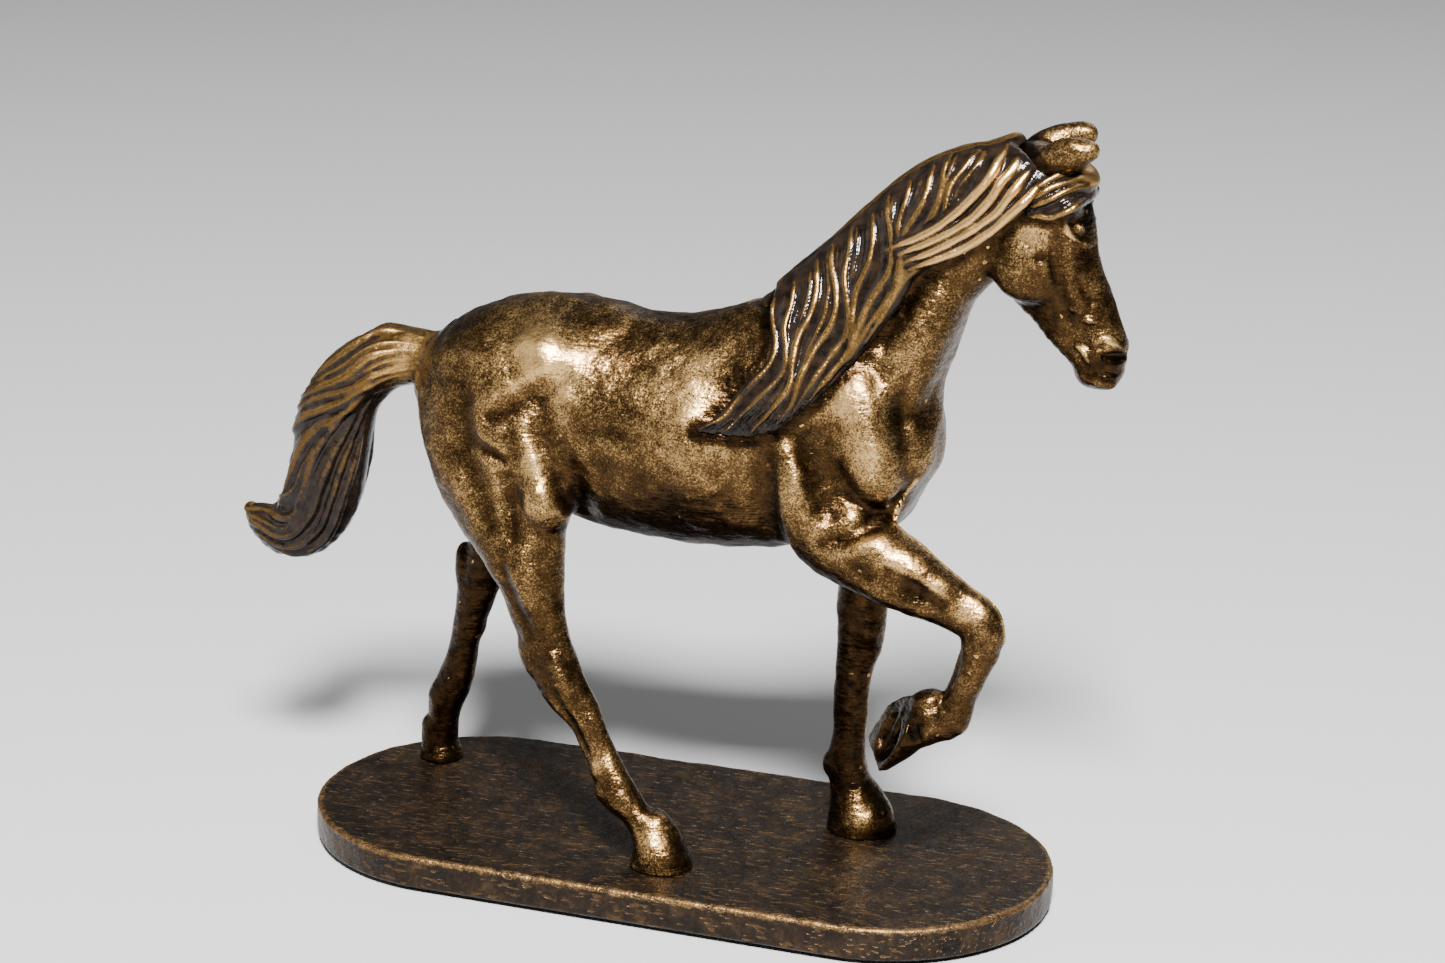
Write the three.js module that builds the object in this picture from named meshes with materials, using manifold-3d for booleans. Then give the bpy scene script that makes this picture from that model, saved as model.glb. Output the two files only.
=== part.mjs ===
// A walking horse in cast bronze on a flat plinth with round ends.
//
// The figure is cast in sections, as small bronzes are: torso, neck with head, mane, forelock, tail and four legs.
// The sections meet at flat joints, each held by a dowel, and three hooves are held to the plinth by studs,
// washers and nuts let into its underside, under a felt pad.
//
// Millimetres. +X is the way the horse walks, +Y its left side, +Z up.
// The origin is the centre of the felt's underside, where the statuette rests.
import * as THREE from "three";
import { mergeVertices } from "three/addons/utils/BufferGeometryUtils.js";
import Module from "manifold-3d";

const wasm = await Module();
wasm.setup();

// ---- Driving dimensions -------------------------------------------------------------------------------------------

const FIT_GAP = 0.3; // between any two pieces that touch

const PLINTH_LENGTH = 80; // the horse is sized to walk on it
const PLINTH_WIDTH = 36;
const PLINTH_THICKNESS = 3.5;
const PLINTH_EDGE_BEVEL = 0.35;

const HORSE_TO_PLINTH = 1; // the horse's size for its plinth's length, 1 as drawn below
const JOINT_DOWEL_RADIUS = 0.9;
const JOINT_DOWEL_LENGTH = 6;
const MANE_THICKNESS = 1.3;

const FELT_THICKNESS = 0.7;
const FELT_PROUD = 0.5; // how far the felt stands below the plinth's rim
const FELT_INSET = 2.5; // from the plinth's edge

const STUD_RADIUS = 1;
const STUD_IN_HOOF = 3; // how far a stud runs up into the hoof
const NUT_ACROSS_FLATS = 4;
const NUT_THICKNESS = 1.3;
const WASHER_RADIUS = 2.5;
const WASHER_THICKNESS = 0.3;

// ---- Places worked out from them ----------------------------------------------------------------------------------

const PLINTH_BOTTOM = FELT_PROUD;
const PLINTH_TOP = PLINTH_BOTTOM + PLINTH_THICKNESS;
const HOOF_SOLE = PLINTH_TOP + FIT_GAP;
const FELT_RECESS_TOP = FELT_THICKNESS + FIT_GAP;
const NUT_BOTTOM = FELT_RECESS_TOP;
const WASHER_BOTTOM = NUT_BOTTOM + NUT_THICKNESS + FIT_GAP;
const COUNTERBORE_TOP = WASHER_BOTTOM + WASHER_THICKNESS + FIT_GAP;
const NUT_CORNER_RADIUS = NUT_ACROSS_FLATS / Math.sqrt(3);
const COUNTERBORE_RADIUS = Math.max(WASHER_RADIUS, NUT_CORNER_RADIUS) + FIT_GAP;
const STUD_HOLE_RADIUS = STUD_RADIUS + FIT_GAP;

// The horse is drawn for a plinth of this length with its top at this height, then set on the plinth given above.
const DRAWN_PLINTH_LENGTH = 80;
const DRAWN_GROUND = 4;
const HORSE_SCALE = (HORSE_TO_PLINTH * PLINTH_LENGTH) / DRAWN_PLINTH_LENGTH;
const onPlinth = (x, y, z) =>
  new THREE.Vector3(
    x * HORSE_SCALE,
    y * HORSE_SCALE,
    PLINTH_TOP + (z - DRAWN_GROUND) * HORSE_SCALE,
  );

// ---- The horse, as stations along each limb -----------------------------------------------------------------------
// A station is [x, y, z, front, back, side]: a centre, then its reach towards the front or top, towards the back or
// underside, and to each side. "Front" is on the right-hand side of the way the stations run, seen from the left.

const TORSO = [
  [-24.2, 0, 50.2, 6.0, 6.5, 6.4],
  [-20.0, 0, 49.6, 9.2, 9.4, 9.2],
  [-13.0, 0, 48.8, 11.6, 10.2, 10.2],
  [-6.0, 0, 48.2, 11.8, 11.0, 9.9],
  [2.0, 0, 47.9, 12.0, 12.1, 10.5],
  [9.0, 0, 48.1, 12.9, 11.8, 10.0],
  [15.5, 0, 48.8, 12.0, 10.6, 8.8],
  [21.0, 0, 49.6, 8.6, 8.6, 7.2],
  [24.0, 0, 49.8, 5.4, 6.0, 5.4],
];

const NECK = [
  [11.0, 0, 50.5, 11.0, 11.0, 7.6],
  [16.6, 0, 57.2, 9.3, 10.2, 6.6],
  [21.2, 0, 64.2, 6.9, 8.0, 5.0],
  [26.6, 0, 70.6, 6.0, 6.6, 4.0],
  [32.0, 0, 74.2, 4.6, 5.0, 3.5],
];

const HEAD = [
  [34.6, 0, 77.0, 3.0, 3.4, 3.0],
  [37.2, 0, 72.4, 3.9, 5.2, 3.9],
  [38.7, 0, 68.4, 3.5, 4.6, 3.3],
  [40.7, 0, 64.2, 2.9, 3.2, 2.5],
  [41.9, 0, 61.2, 2.9, 2.7, 2.4],
  [42.2, 0, 59.0, 2.5, 2.6, 2.3],
];

const EAR = [
  [36.2, 2.3, 77.6, 1.0, 1.0, 0.9],
  [38.2, 2.7, 79.2, 1.2, 1.1, 1.0],
  [40.0, 2.9, 80.5, 0.8, 0.8, 0.6],
  [41.0, 2.9, 81.2, 0.3, 0.3, 0.3],
];

const TAIL = [
  [-24.5, 0, 52.4, 2.7, 2.6, 2.6],
  [-29.5, 0, 52.2, 3.0, 2.9, 2.7],
  [-34.0, 0, 51.4, 3.1, 3.4, 2.8],
  [-37.6, 0, 48.4, 3.6, 3.6, 3.0],
  [-39.4, 0, 44.2, 4.4, 4.3, 3.2],
  [-39.8, 0, 39.8, 4.2, 4.1, 3.2],
  [-40.6, 0, 35.6, 4.1, 4.3, 3.1],
  [-42.6, 0, 32.4, 3.6, 3.6, 2.8],
  [-45.8, 0, 31.3, 2.5, 2.6, 2.2],
  [-48.4, 0, 32.6, 1.2, 1.4, 1.4],
  [-49.7, 0, 33.6, 0.4, 0.5, 0.6],
];

const RIGHT_HIND = [
  [-17.5, -5.0, 49.0, 7.6, 9.2, 5.2],
  [-17.0, -6.8, 43.6, 7.8, 9.4, 4.4],
  [-15.6, -8.0, 39.4, 6.0, 7.0, 3.8],
  [-13.4, -8.7, 34.4, 3.6, 4.3, 3.0],
  [-12.5, -9.0, 29.2, 2.8, 3.0, 2.3],
  [-11.2, -9.2, 23.6, 2.7, 2.8, 2.1],
  [-8.6, -9.4, 19.2, 2.0, 2.0, 1.7],
  [-6.2, -9.7, 15.4, 1.4, 1.4, 1.3],
  [-4.2, -9.9, 12.4, 1.4, 1.5, 1.3],
  [-2.4, -10.2, 9.9, 1.7, 1.9, 1.7],
  [-0.4, -10.4, 8.0, 1.7, 1.8, 1.7],
  [0.6, -10.5, 6.6, 1.8, 1.8, 1.8],
];
const RIGHT_HIND_HOOF = [
  [0.2, -10.5, 8.4, 2.0, 1.8, 2.0],
  [1.1, -10.6, 6.6, 3.2, 2.9, 2.9],
  [1.5, -10.7, 3.4, 3.7, 3.2, 3.3],
];

const LEFT_HIND = [
  [-18.0, 5.0, 49.0, 7.6, 8.6, 5.2],
  [-19.4, 6.8, 43.0, 6.8, 7.4, 4.4],
  [-21.0, 7.6, 38.0, 5.2, 5.0, 3.6],
  [-22.6, 8.0, 33.6, 3.5, 3.4, 2.7],
  [-25.3, 8.2, 28.8, 2.7, 2.8, 2.1],
  [-26.6, 8.4, 24.2, 2.0, 2.1, 1.7],
  [-27.5, 8.5, 19.4, 1.5, 1.5, 1.3],
  [-28.4, 8.6, 14.8, 1.5, 1.5, 1.3],
  [-29.8, 8.6, 11.4, 1.8, 1.9, 1.7],
  [-30.6, 8.6, 8.6, 1.7, 1.7, 1.6],
  [-30.9, 8.7, 6.6, 1.7, 1.7, 1.6],
];
const LEFT_HIND_HOOF = [
  [-30.6, 8.7, 8.6, 1.7, 1.8, 1.9],
  [-30.9, 8.7, 6.6, 2.0, 2.3, 2.4],
  [-30.9, 8.7, 3.4, 2.3, 2.6, 2.7],
];

const LEFT_FORE = [
  [15.0, 4.6, 43.0, 5.4, 5.2, 3.4],
  [16.6, 5.6, 37.0, 4.2, 4.0, 3.0],
  [17.4, 5.9, 31.4, 2.9, 2.7, 2.3],
  [17.5, 6.1, 25.8, 2.5, 2.4, 2.1],
  [17.0, 6.2, 21.6, 1.9, 1.9, 1.6],
  [16.7, 6.3, 17.0, 1.8, 1.8, 1.4],
  [16.6, 6.3, 12.6, 2.1, 2.3, 1.8],
  [17.2, 6.5, 9.4, 1.9, 1.9, 1.7],
  [17.8, 6.6, 7.0, 2.0, 2.0, 1.8],
];
const LEFT_FORE_HOOF = [
  [17.7, 6.6, 9.2, 2.1, 2.2, 2.1],
  [18.2, 6.7, 7.0, 2.9, 2.9, 2.9],
  [18.5, 6.7, 3.4, 3.8, 3.7, 3.6],
];

const RIGHT_FORE = [
  [13.6, -5.0, 43.6, 5.2, 5.6, 3.6],
  [18.4, -6.0, 40.8, 4.4, 4.8, 3.4],
  [23.4, -6.2, 38.4, 3.6, 3.6, 2.9],
  [28.4, -6.3, 36.0, 2.8, 2.9, 2.4],
  [32.6, -6.4, 33.5, 2.9, 2.3, 2.2],
  [33.0, -6.4, 30.2, 2.2, 2.1, 1.9],
  [31.9, -6.4, 26.8, 1.9, 1.9, 1.6],
  [30.7, -6.4, 23.6, 1.9, 1.9, 1.6],
  [29.4, -6.4, 22.0, 1.9, 1.8, 1.7],
  [26.6, -6.4, 21.0, 1.7, 1.9, 1.7],
];
const RIGHT_FORE_HOOF = [
  [28.6, -6.4, 22.3, 1.9, 2.1, 2.0],
  [26.6, -6.4, 21.2, 2.8, 2.9, 2.8],
  [22.8, -6.4, 19.3, 3.9, 4.1, 3.4],
];
const RAISED_SOLE = { point: [23.9, -6.4, 19.7], normal: [-0.96, 0, 0.29] };

// Muscle masses: [x, y, z, reach in x, reach in y, reach in z]. Each has a twin on the other side.
const MUSCLES = [
  [35.2, 2.0, 69.2, 4.4, 2.3, 5.2], // cheek
  [21.0, 4.6, 47.5, 5.0, 3.8, 7.0], // point of the shoulder
  [13.5, 5.2, 46.5, 5.4, 4.0, 7.6], // upper arm
  [-20.5, 4.6, 47.0, 7.4, 5.2, 9.6], // haunch
];

// The mane's edge in X and Z, round from the withers along the crest to the poll and back down the right side.
const MANE_EDGE = [
  [5.5, 62.2],
  [10, 68],
  [18, 76],
  [27, 83],
  [36.4, 82],
  [37.4, 77.5],
  [36.6, 74.6],
  [33.2, 72.6],
  [28.3, 70.6],
  [25.4, 69.0],
  [22.1, 64.3],
  [20.0, 59.1],
  [16.4, 54.1],
  [12.8, 51.2],
  [7.1, 49.5],
  [5.2, 50.4],
  [9.0, 52.9],
  [9.8, 56.0],
  [8.6, 59.5],
];
const FORELOCK_EDGE = [
  [38.0, 77.6],
  [39.0, 80.0],
  [43.0, 79.0],
  [43.0, 74.6],
  [38.6, 74.4],
  [37.0, 75.2],
];
const HAIR_FAR_SIDE = 1.2; // how far the hair reaches over the crest, past the middle

// Where the sections part: a point on each joint, and the way into the outer section.
const JOINTS = {
  neck: { point: [17.0, 0, 57.6], into: [0.39, 0, 0.92] },
  tail: { point: [-27.7, 0, 52.0], into: [-0.91, 0, 0.41] },
  right_hind: { point: [-14.0, -8.4, 35.6], into: [0, 0, -1] },
  left_hind: { point: [-21.8, 7.7, 35.6], into: [-0.3, 0, -0.954] },
  left_fore: { point: [17.0, 5.8, 34.6], into: [0, 0, -1] },
  right_fore: { point: [24.5, -6.2, 37.9], into: [0.9, 0, -0.436] },
};

// ---- Geometry helpers ---------------------------------------------------------------------------------------------

const RINGS_PER_STATION = 2;
const CAP_ANGLES = [Math.PI / 6, Math.PI / 3];
const CAP_ROUNDNESS = 0.75;

// A closed tube through stations, with round ends. grow adds to every reach.
function loft(stations, sides, grow = 0) {
  const centres = new THREE.CatmullRomCurve3(
    stations.map(([x, y, z]) => onPlinth(x, y, z)),
    false,
    "catmullrom",
  );
  const reaches = new THREE.CatmullRomCurve3(
    stations.map(([, , , front, back, side]) =>
      new THREE.Vector3(front, back, side).multiplyScalar(HORSE_SCALE),
    ),
    false,
    "catmullrom",
  );
  const steps = (stations.length - 1) * RINGS_PER_STATION;
  const rings = [];
  const addRing = (t, along, shrink) => {
    const way = centres.getTangent(t);
    const side = new THREE.Vector3(0, 1, 0).addScaledVector(way, -way.y).normalize();
    const front = new THREE.Vector3().crossVectors(way, side);
    const reach = reaches.getPoint(t).addScalar(grow);
    const length = CAP_ROUNDNESS * Math.min(reach.x, reach.y, reach.z);
    const centre = centres.getPoint(t).addScaledVector(way, along * length);
    if (shrink === 0) return [centre];
    const ring = [];
    for (let i = 0; i < sides; i++) {
      const angle = (2 * Math.PI * i) / sides;
      const cos = Math.cos(angle);
      ring.push(
        centre
          .clone()
          .addScaledVector(front, shrink * cos * (cos > 0 ? reach.x : reach.y))
          .addScaledVector(side, shrink * Math.sin(angle) * reach.z),
      );
    }
    return ring;
  };
  const start = addRing(0, -1, 0)[0];
  for (const a of [...CAP_ANGLES].reverse()) rings.push(addRing(0, -Math.sin(a), Math.cos(a)));
  for (let i = 0; i <= steps; i++) rings.push(addRing(i / steps, 0, 1));
  for (const a of CAP_ANGLES) rings.push(addRing(1, Math.sin(a), Math.cos(a)));
  const end = addRing(1, 1, 0)[0];
  return closeRings(rings, sides, start, end);
}

// Rings of equal count, closed by a fan at each end.
function closeRings(rings, sides, start, end) {
  const points = [...rings.flat(), start, end];
  const faces = [];
  const startAt = points.length - 2;
  const endAt = points.length - 1;
  const lastRing = (rings.length - 1) * sides;
  for (let i = 0; i < sides; i++) {
    const next = (i + 1) % sides;
    faces.push(startAt, i, next);
    faces.push(endAt, lastRing + next, lastRing + i);
    for (let r = 0; r < rings.length - 1; r++) {
      const a = r * sides;
      const b = a + sides;
      faces.push(a + i, b + i, b + next);
      faces.push(a + i, b + next, a + next);
    }
  }
  const geometry = new THREE.BufferGeometry().setFromPoints(points);
  geometry.setIndex(faces);
  return geometry;
}

// A three.js geometry as a manifold-3d solid.
function solid(geometry) {
  const bare = geometry.clone();
  bare.deleteAttribute("normal");
  bare.deleteAttribute("uv");
  const merged = mergeVertices(bare, 1e-4);
  return new wasm.Manifold(
    new wasm.Mesh({
      numProp: 3,
      vertProperties: merged.attributes.position.array,
      triVerts: new Uint32Array(merged.index.array),
    }),
  );
}

// A manifold-3d solid as a three.js geometry.
function geometryOf(made) {
  const { vertProperties, triVerts } = made.getMesh();
  const geometry = new THREE.BufferGeometry();
  geometry.setAttribute("position", new THREE.BufferAttribute(new Float32Array(vertProperties), 3));
  geometry.setIndex(new THREE.BufferAttribute(new Uint32Array(triVerts), 1));
  return geometry.toNonIndexed();
}

const union = (solids) => solids.reduce((a, b) => a.add(b));
const vector = ([x, y, z]) => new THREE.Vector3(x, y, z);

// Everything on the far side of a plane, from `beyond` past it: a box far larger than the object.
const FAR = 400;
function halfSpace(point, normal, beyond) {
  const way = normal.clone().normalize();
  const box = new THREE.BoxGeometry(FAR, FAR, FAR);
  box.translate(0, 0, FAR / 2);
  box.applyQuaternion(new THREE.Quaternion().setFromUnitVectors(new THREE.Vector3(0, 0, 1), way));
  const at = point.clone().addScaledVector(way, beyond);
  box.translate(at.x, at.y, at.z);
  return solid(box);
}

// A round bar along a direction, from `from` to `to` past a point.
const ROUND_SIDES = 20;
function bar(point, direction, radius, from, to) {
  const way = direction.clone().normalize();
  const cylinder = new THREE.CylinderGeometry(radius, radius, to - from, ROUND_SIDES);
  cylinder.applyQuaternion(
    new THREE.Quaternion().setFromUnitVectors(new THREE.Vector3(0, 1, 0), way),
  );
  const middle = point.clone().addScaledVector(way, (from + to) / 2);
  cylinder.translate(middle.x, middle.y, middle.z);
  return cylinder;
}

function ellipsoid([x, y, z, rx, ry, rz]) {
  const sphere = new THREE.SphereGeometry(HORSE_SCALE, 16, 10);
  sphere.scale(rx, ry, rz);
  const at = onPlinth(x, y, z);
  sphere.translate(at.x, at.y, at.z);
  return solid(sphere);
}

const mirrored = (row) => row.map((value, i) => (i === 1 ? -value : value));

// An outline in X and Z, as wide as the hair may lie in Y.
function sidewaysPrism(edge) {
  const outline = new THREE.Shape(
    edge.map(([x, z]) => {
      const at = onPlinth(x, 0, z);
      return new THREE.Vector2(at.x, at.z);
    }),
  );
  const reach = FAR / 10;
  const prism = new THREE.ExtrudeGeometry(outline, { depth: reach, bevelEnabled: false });
  prism.rotateX(Math.PI / 2); // the outline's second axis becomes Z, and its depth runs towards -Y
  prism.translate(0, HAIR_FAR_SIDE * HORSE_SCALE, 0);
  return solid(prism);
}

// ---- The castings -------------------------------------------------------------------------------------------------

const LIMB_SIDES = 12;
const BODY_SIDES = 20;

const jointPoint = ({ point }) => onPlinth(...point);
const innerSide = (joint) =>
  halfSpace(jointPoint(joint), vector(joint.into).negate(), FIT_GAP / 2);
const outerSide = (joint) => halfSpace(jointPoint(joint), vector(joint.into), FIT_GAP / 2);
const dowelHole = (joint) => {
  const reach = JOINT_DOWEL_LENGTH / 2 + FIT_GAP;
  return solid(
    bar(jointPoint(joint), vector(joint.into), JOINT_DOWEL_RADIUS + FIT_GAP, -reach, reach),
  );
};

const abovePlinth = halfSpace(new THREE.Vector3(0, 0, HOOF_SOLE), new THREE.Vector3(0, 0, 1), 0);
const aboveRaisedSole = halfSpace(
  onPlinth(...RAISED_SOLE.point),
  vector(RAISED_SOLE.normal).negate(),
  0,
);

const limbs = {
  right_hind: {
    name: "right_hind_leg",
    leg: RIGHT_HIND,
    hoof: solid(loft(RIGHT_HIND_HOOF, LIMB_SIDES)),
    sole: abovePlinth,
  },
  left_hind: {
    name: "left_hind_leg",
    leg: LEFT_HIND,
    hoof: solid(loft(LEFT_HIND_HOOF, LIMB_SIDES)),
    sole: abovePlinth,
  },
  left_fore: {
    name: "left_foreleg",
    leg: LEFT_FORE,
    hoof: solid(loft(LEFT_FORE_HOOF, LIMB_SIDES)),
    sole: abovePlinth,
  },
  right_fore: {
    name: "right_foreleg_raised",
    leg: RIGHT_FORE,
    hoof: solid(loft(RIGHT_FORE_HOOF, LIMB_SIDES)),
    sole: aboveRaisedSole,
  },
};

// Studs stand in the three hooves that bear on the plinth.
const studPlaces = {
  right_hind: [1.4, -10.7],
  left_hind: [-30.9, 8.7],
  left_fore: [18.4, 6.7],
};
const studAt = ([x, y]) => new THREE.Vector3(x * HORSE_SCALE, y * HORSE_SCALE, 0);
const UP = new THREE.Vector3(0, 0, 1);
const studTop = HOOF_SOLE + STUD_IN_HOOF;
const studHoles = Object.fromEntries(
  Object.entries(studPlaces).map(([limb, place]) => [
    limb,
    solid(bar(studAt(place), UP, STUD_HOLE_RADIUS, -FIT_GAP, studTop + FIT_GAP)),
  ]),
);

const barrel = solid(loft(TORSO, BODY_SIDES));
const neckAndHead = union([
  solid(loft(NECK, BODY_SIDES)),
  solid(loft(HEAD, LIMB_SIDES)),
  solid(loft(EAR, 8)),
  solid(loft(EAR.map(mirrored), 8)),
  ellipsoid(MUSCLES[0]),
  ellipsoid(mirrored(MUSCLES[0])),
]);
const bodyMuscles = MUSCLES.slice(1).flatMap((row) => [ellipsoid(row), ellipsoid(mirrored(row))]);

const castings = {};

for (const [key, limb] of Object.entries(limbs)) {
  const joint = JOINTS[key];
  const whole = solid(loft(limb.leg, LIMB_SIDES));
  limb.upper = whole.intersect(innerSide(joint));
  const fromJoint = halfSpace(jointPoint(joint), vector(joint.into), -FIT_GAP / 2);
  limb.room = solid(loft(limb.leg, LIMB_SIDES, FIT_GAP)).intersect(fromJoint);
  let lower = whole
    .intersect(outerSide(joint))
    .add(limb.hoof.intersect(limb.sole))
    .subtract(dowelHole(joint));
  if (studHoles[key]) lower = lower.subtract(studHoles[key]);
  castings[limb.name] = lower;
}

const belowNeckJoint = innerSide(JOINTS.neck);
castings.torso = Object.entries(limbs).reduce(
  (made, [key, limb]) => made.subtract(limb.room).subtract(dowelHole(JOINTS[key])),
  union([
    barrel,
    ...bodyMuscles,
    neckAndHead,
    ...Object.values(limbs).map((limb) => limb.upper),
  ])
    .intersect(belowNeckJoint)
    .intersect(innerSide(JOINTS.tail))
    .subtract(dowelHole(JOINTS.neck))
    .subtract(dowelHole(JOINTS.tail)),
);
castings.neck_and_head = neckAndHead
  .add(barrel)
  .intersect(outerSide(JOINTS.neck))
  .subtract(dowelHole(JOINTS.neck));
castings.tail = solid(loft(TAIL, LIMB_SIDES))
  .intersect(outerSide(JOINTS.tail))
  .subtract(dowelHole(JOINTS.tail));

// Hair is a shell over the neck, the head and the withers, between its inner and outer surfaces.
const hairShell = (grow) =>
  union([
    solid(loft(TORSO, BODY_SIDES, grow)),
    solid(loft(NECK, BODY_SIDES, grow)),
    solid(loft(HEAD, LIMB_SIDES, grow)),
  ]);
const earRoom = [EAR, EAR.map(mirrored)].map((ear) => solid(loft(ear, 8, FIT_GAP)));
const muscleRoom = MUSCLES.map(mirrored).map(([x, y, z, rx, ry, rz]) =>
  ellipsoid([x, y, z, rx + FIT_GAP, ry + FIT_GAP, rz + FIT_GAP]),
);
const hair = hairShell(FIT_GAP + MANE_THICKNESS).subtract(
  union([hairShell(FIT_GAP), ...earRoom, ...muscleRoom]),
);
const biggest = (made) => made.decompose().sort((a, b) => b.volume() - a.volume())[0];
castings.mane = biggest(hair.intersect(sidewaysPrism(MANE_EDGE)));
castings.forelock = biggest(hair.intersect(sidewaysPrism(FORELOCK_EDGE)));

// ---- The plinth, its felt and its fixings -------------------------------------------------------------------------

// A rectangle with round ends, in X and Y.
function raceway(length, width) {
  const radius = width / 2;
  const straight = length / 2 - radius;
  const shape = new THREE.Shape();
  shape.absarc(straight, 0, radius, -Math.PI / 2, Math.PI / 2);
  shape.absarc(-straight, 0, radius, Math.PI / 2, (3 * Math.PI) / 2);
  return shape;
}

function slab(length, width, bottom, top, bevel = 0) {
  const made = new THREE.ExtrudeGeometry(raceway(length - 2 * bevel, width - 2 * bevel), {
    depth: top - bottom - 2 * bevel,
    bevelEnabled: bevel > 0,
    bevelThickness: bevel,
    bevelSize: bevel,
    bevelSegments: 1,
    curveSegments: 24,
  });
  made.translate(0, 0, bottom + bevel);
  return made;
}

const feltLength = PLINTH_LENGTH - 2 * FELT_INSET;
const feltWidth = PLINTH_WIDTH - 2 * FELT_INSET;
const feltRecess = solid(
  slab(feltLength + 2 * FIT_GAP, feltWidth + 2 * FIT_GAP, -1, FELT_RECESS_TOP),
);
const counterbores = Object.values(studPlaces).map((place) =>
  solid(bar(studAt(place), UP, COUNTERBORE_RADIUS, 0, COUNTERBORE_TOP)),
);
const plinthHoles = Object.values(studPlaces).map((place) =>
  solid(bar(studAt(place), UP, STUD_HOLE_RADIUS, 0, PLINTH_TOP + 1)),
);
const plinth = [feltRecess, ...counterbores, ...plinthHoles].reduce(
  (made, cut) => made.subtract(cut),
  solid(slab(PLINTH_LENGTH, PLINTH_WIDTH, PLINTH_BOTTOM, PLINTH_TOP, PLINTH_EDGE_BEVEL)),
);

// A plate of an outline with a round hole through it, lying flat from bottom to top.
function holedPlate(outline, holeRadius, bottom, top) {
  const hole = new THREE.Path();
  hole.absarc(0, 0, holeRadius, 0, 2 * Math.PI);
  outline.holes.push(hole);
  const plate = new THREE.ExtrudeGeometry(outline, {
    depth: top - bottom,
    bevelEnabled: false,
    curveSegments: 10,
  });
  plate.translate(0, 0, bottom);
  return plate;
}

function hexagon(cornerRadius) {
  const corners = Array.from({ length: 6 }, (_, i) => {
    const angle = (i * Math.PI) / 3;
    return new THREE.Vector2(cornerRadius * Math.cos(angle), cornerRadius * Math.sin(angle));
  });
  return new THREE.Shape(corners);
}

function disc(radius) {
  return new THREE.Shape().absarc(0, 0, radius, 0, 2 * Math.PI);
}

// ---- The assembly -------------------------------------------------------------------------------------------------

const finish = {
  bronze: new THREE.MeshStandardMaterial({ color: 0x8a6232, roughness: 0.38, metalness: 1 }),
  hair: new THREE.MeshStandardMaterial({ color: 0x7a5228, roughness: 0.3, metalness: 1 }),
  plinth: new THREE.MeshStandardMaterial({ color: 0x4a3420, roughness: 0.5, metalness: 1 }),
  brass: new THREE.MeshStandardMaterial({ color: 0xb08d4a, roughness: 0.4, metalness: 1 }),
  felt: new THREE.MeshStandardMaterial({ color: 0x1d2a20, roughness: 1, metalness: 0 }),
};

const statuette = new THREE.Group();
function addPiece(name, geometry, material, at) {
  const mesh = new THREE.Mesh(geometry, material);
  mesh.name = name;
  if (at) mesh.position.copy(at);
  statuette.add(mesh);
}

for (const [name, made] of Object.entries(castings)) {
  const isHair = name === "mane" || name === "forelock";
  addPiece(name, geometryOf(made), isHair ? finish.hair : finish.bronze);
}

for (const [name, joint] of Object.entries(JOINTS)) {
  const half = JOINT_DOWEL_LENGTH / 2;
  const dowel = bar(jointPoint(joint), vector(joint.into), JOINT_DOWEL_RADIUS, -half, half);
  addPiece(`${name}_joint_dowel`, dowel, finish.brass);
}

for (const [limb, place] of Object.entries(studPlaces)) {
  const at = studAt(place);
  addPiece(`${limb}_stud`, bar(at, UP, STUD_RADIUS, NUT_BOTTOM, studTop), finish.brass);
  addPiece(
    `${limb}_nut`,
    holedPlate(hexagon(NUT_CORNER_RADIUS), STUD_HOLE_RADIUS, NUT_BOTTOM, NUT_BOTTOM + NUT_THICKNESS),
    finish.brass,
    at,
  );
  addPiece(
    `${limb}_washer`,
    holedPlate(
      disc(WASHER_RADIUS),
      STUD_HOLE_RADIUS,
      WASHER_BOTTOM,
      WASHER_BOTTOM + WASHER_THICKNESS,
    ),
    finish.brass,
    at,
  );
}

addPiece("plinth", geometryOf(plinth), finish.plinth);
addPiece("felt_pad", slab(feltLength, feltWidth, 0, FELT_THICKNESS), finish.felt);

export default statuette;
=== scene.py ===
"""A small bronze of a walking horse on a plinth with round ends.

The horse is modelled as a sculptor builds it up in clay: masses first, then muscles, then creases
cut into them. The clay is a field of distances on a grid, in millimetres. Each casting of the frame
is meshed from it in its own box and trimmed at its joints, so that the castings meet on one
continuous surface.

Measures are for a plinth 80 mm long whose top is at z = 4, and are scaled and set to the plinth
that the frame holds.
"""

from itertools import product

import bmesh
import bpy
import numpy as np
from mathutils import Matrix, Vector


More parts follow.
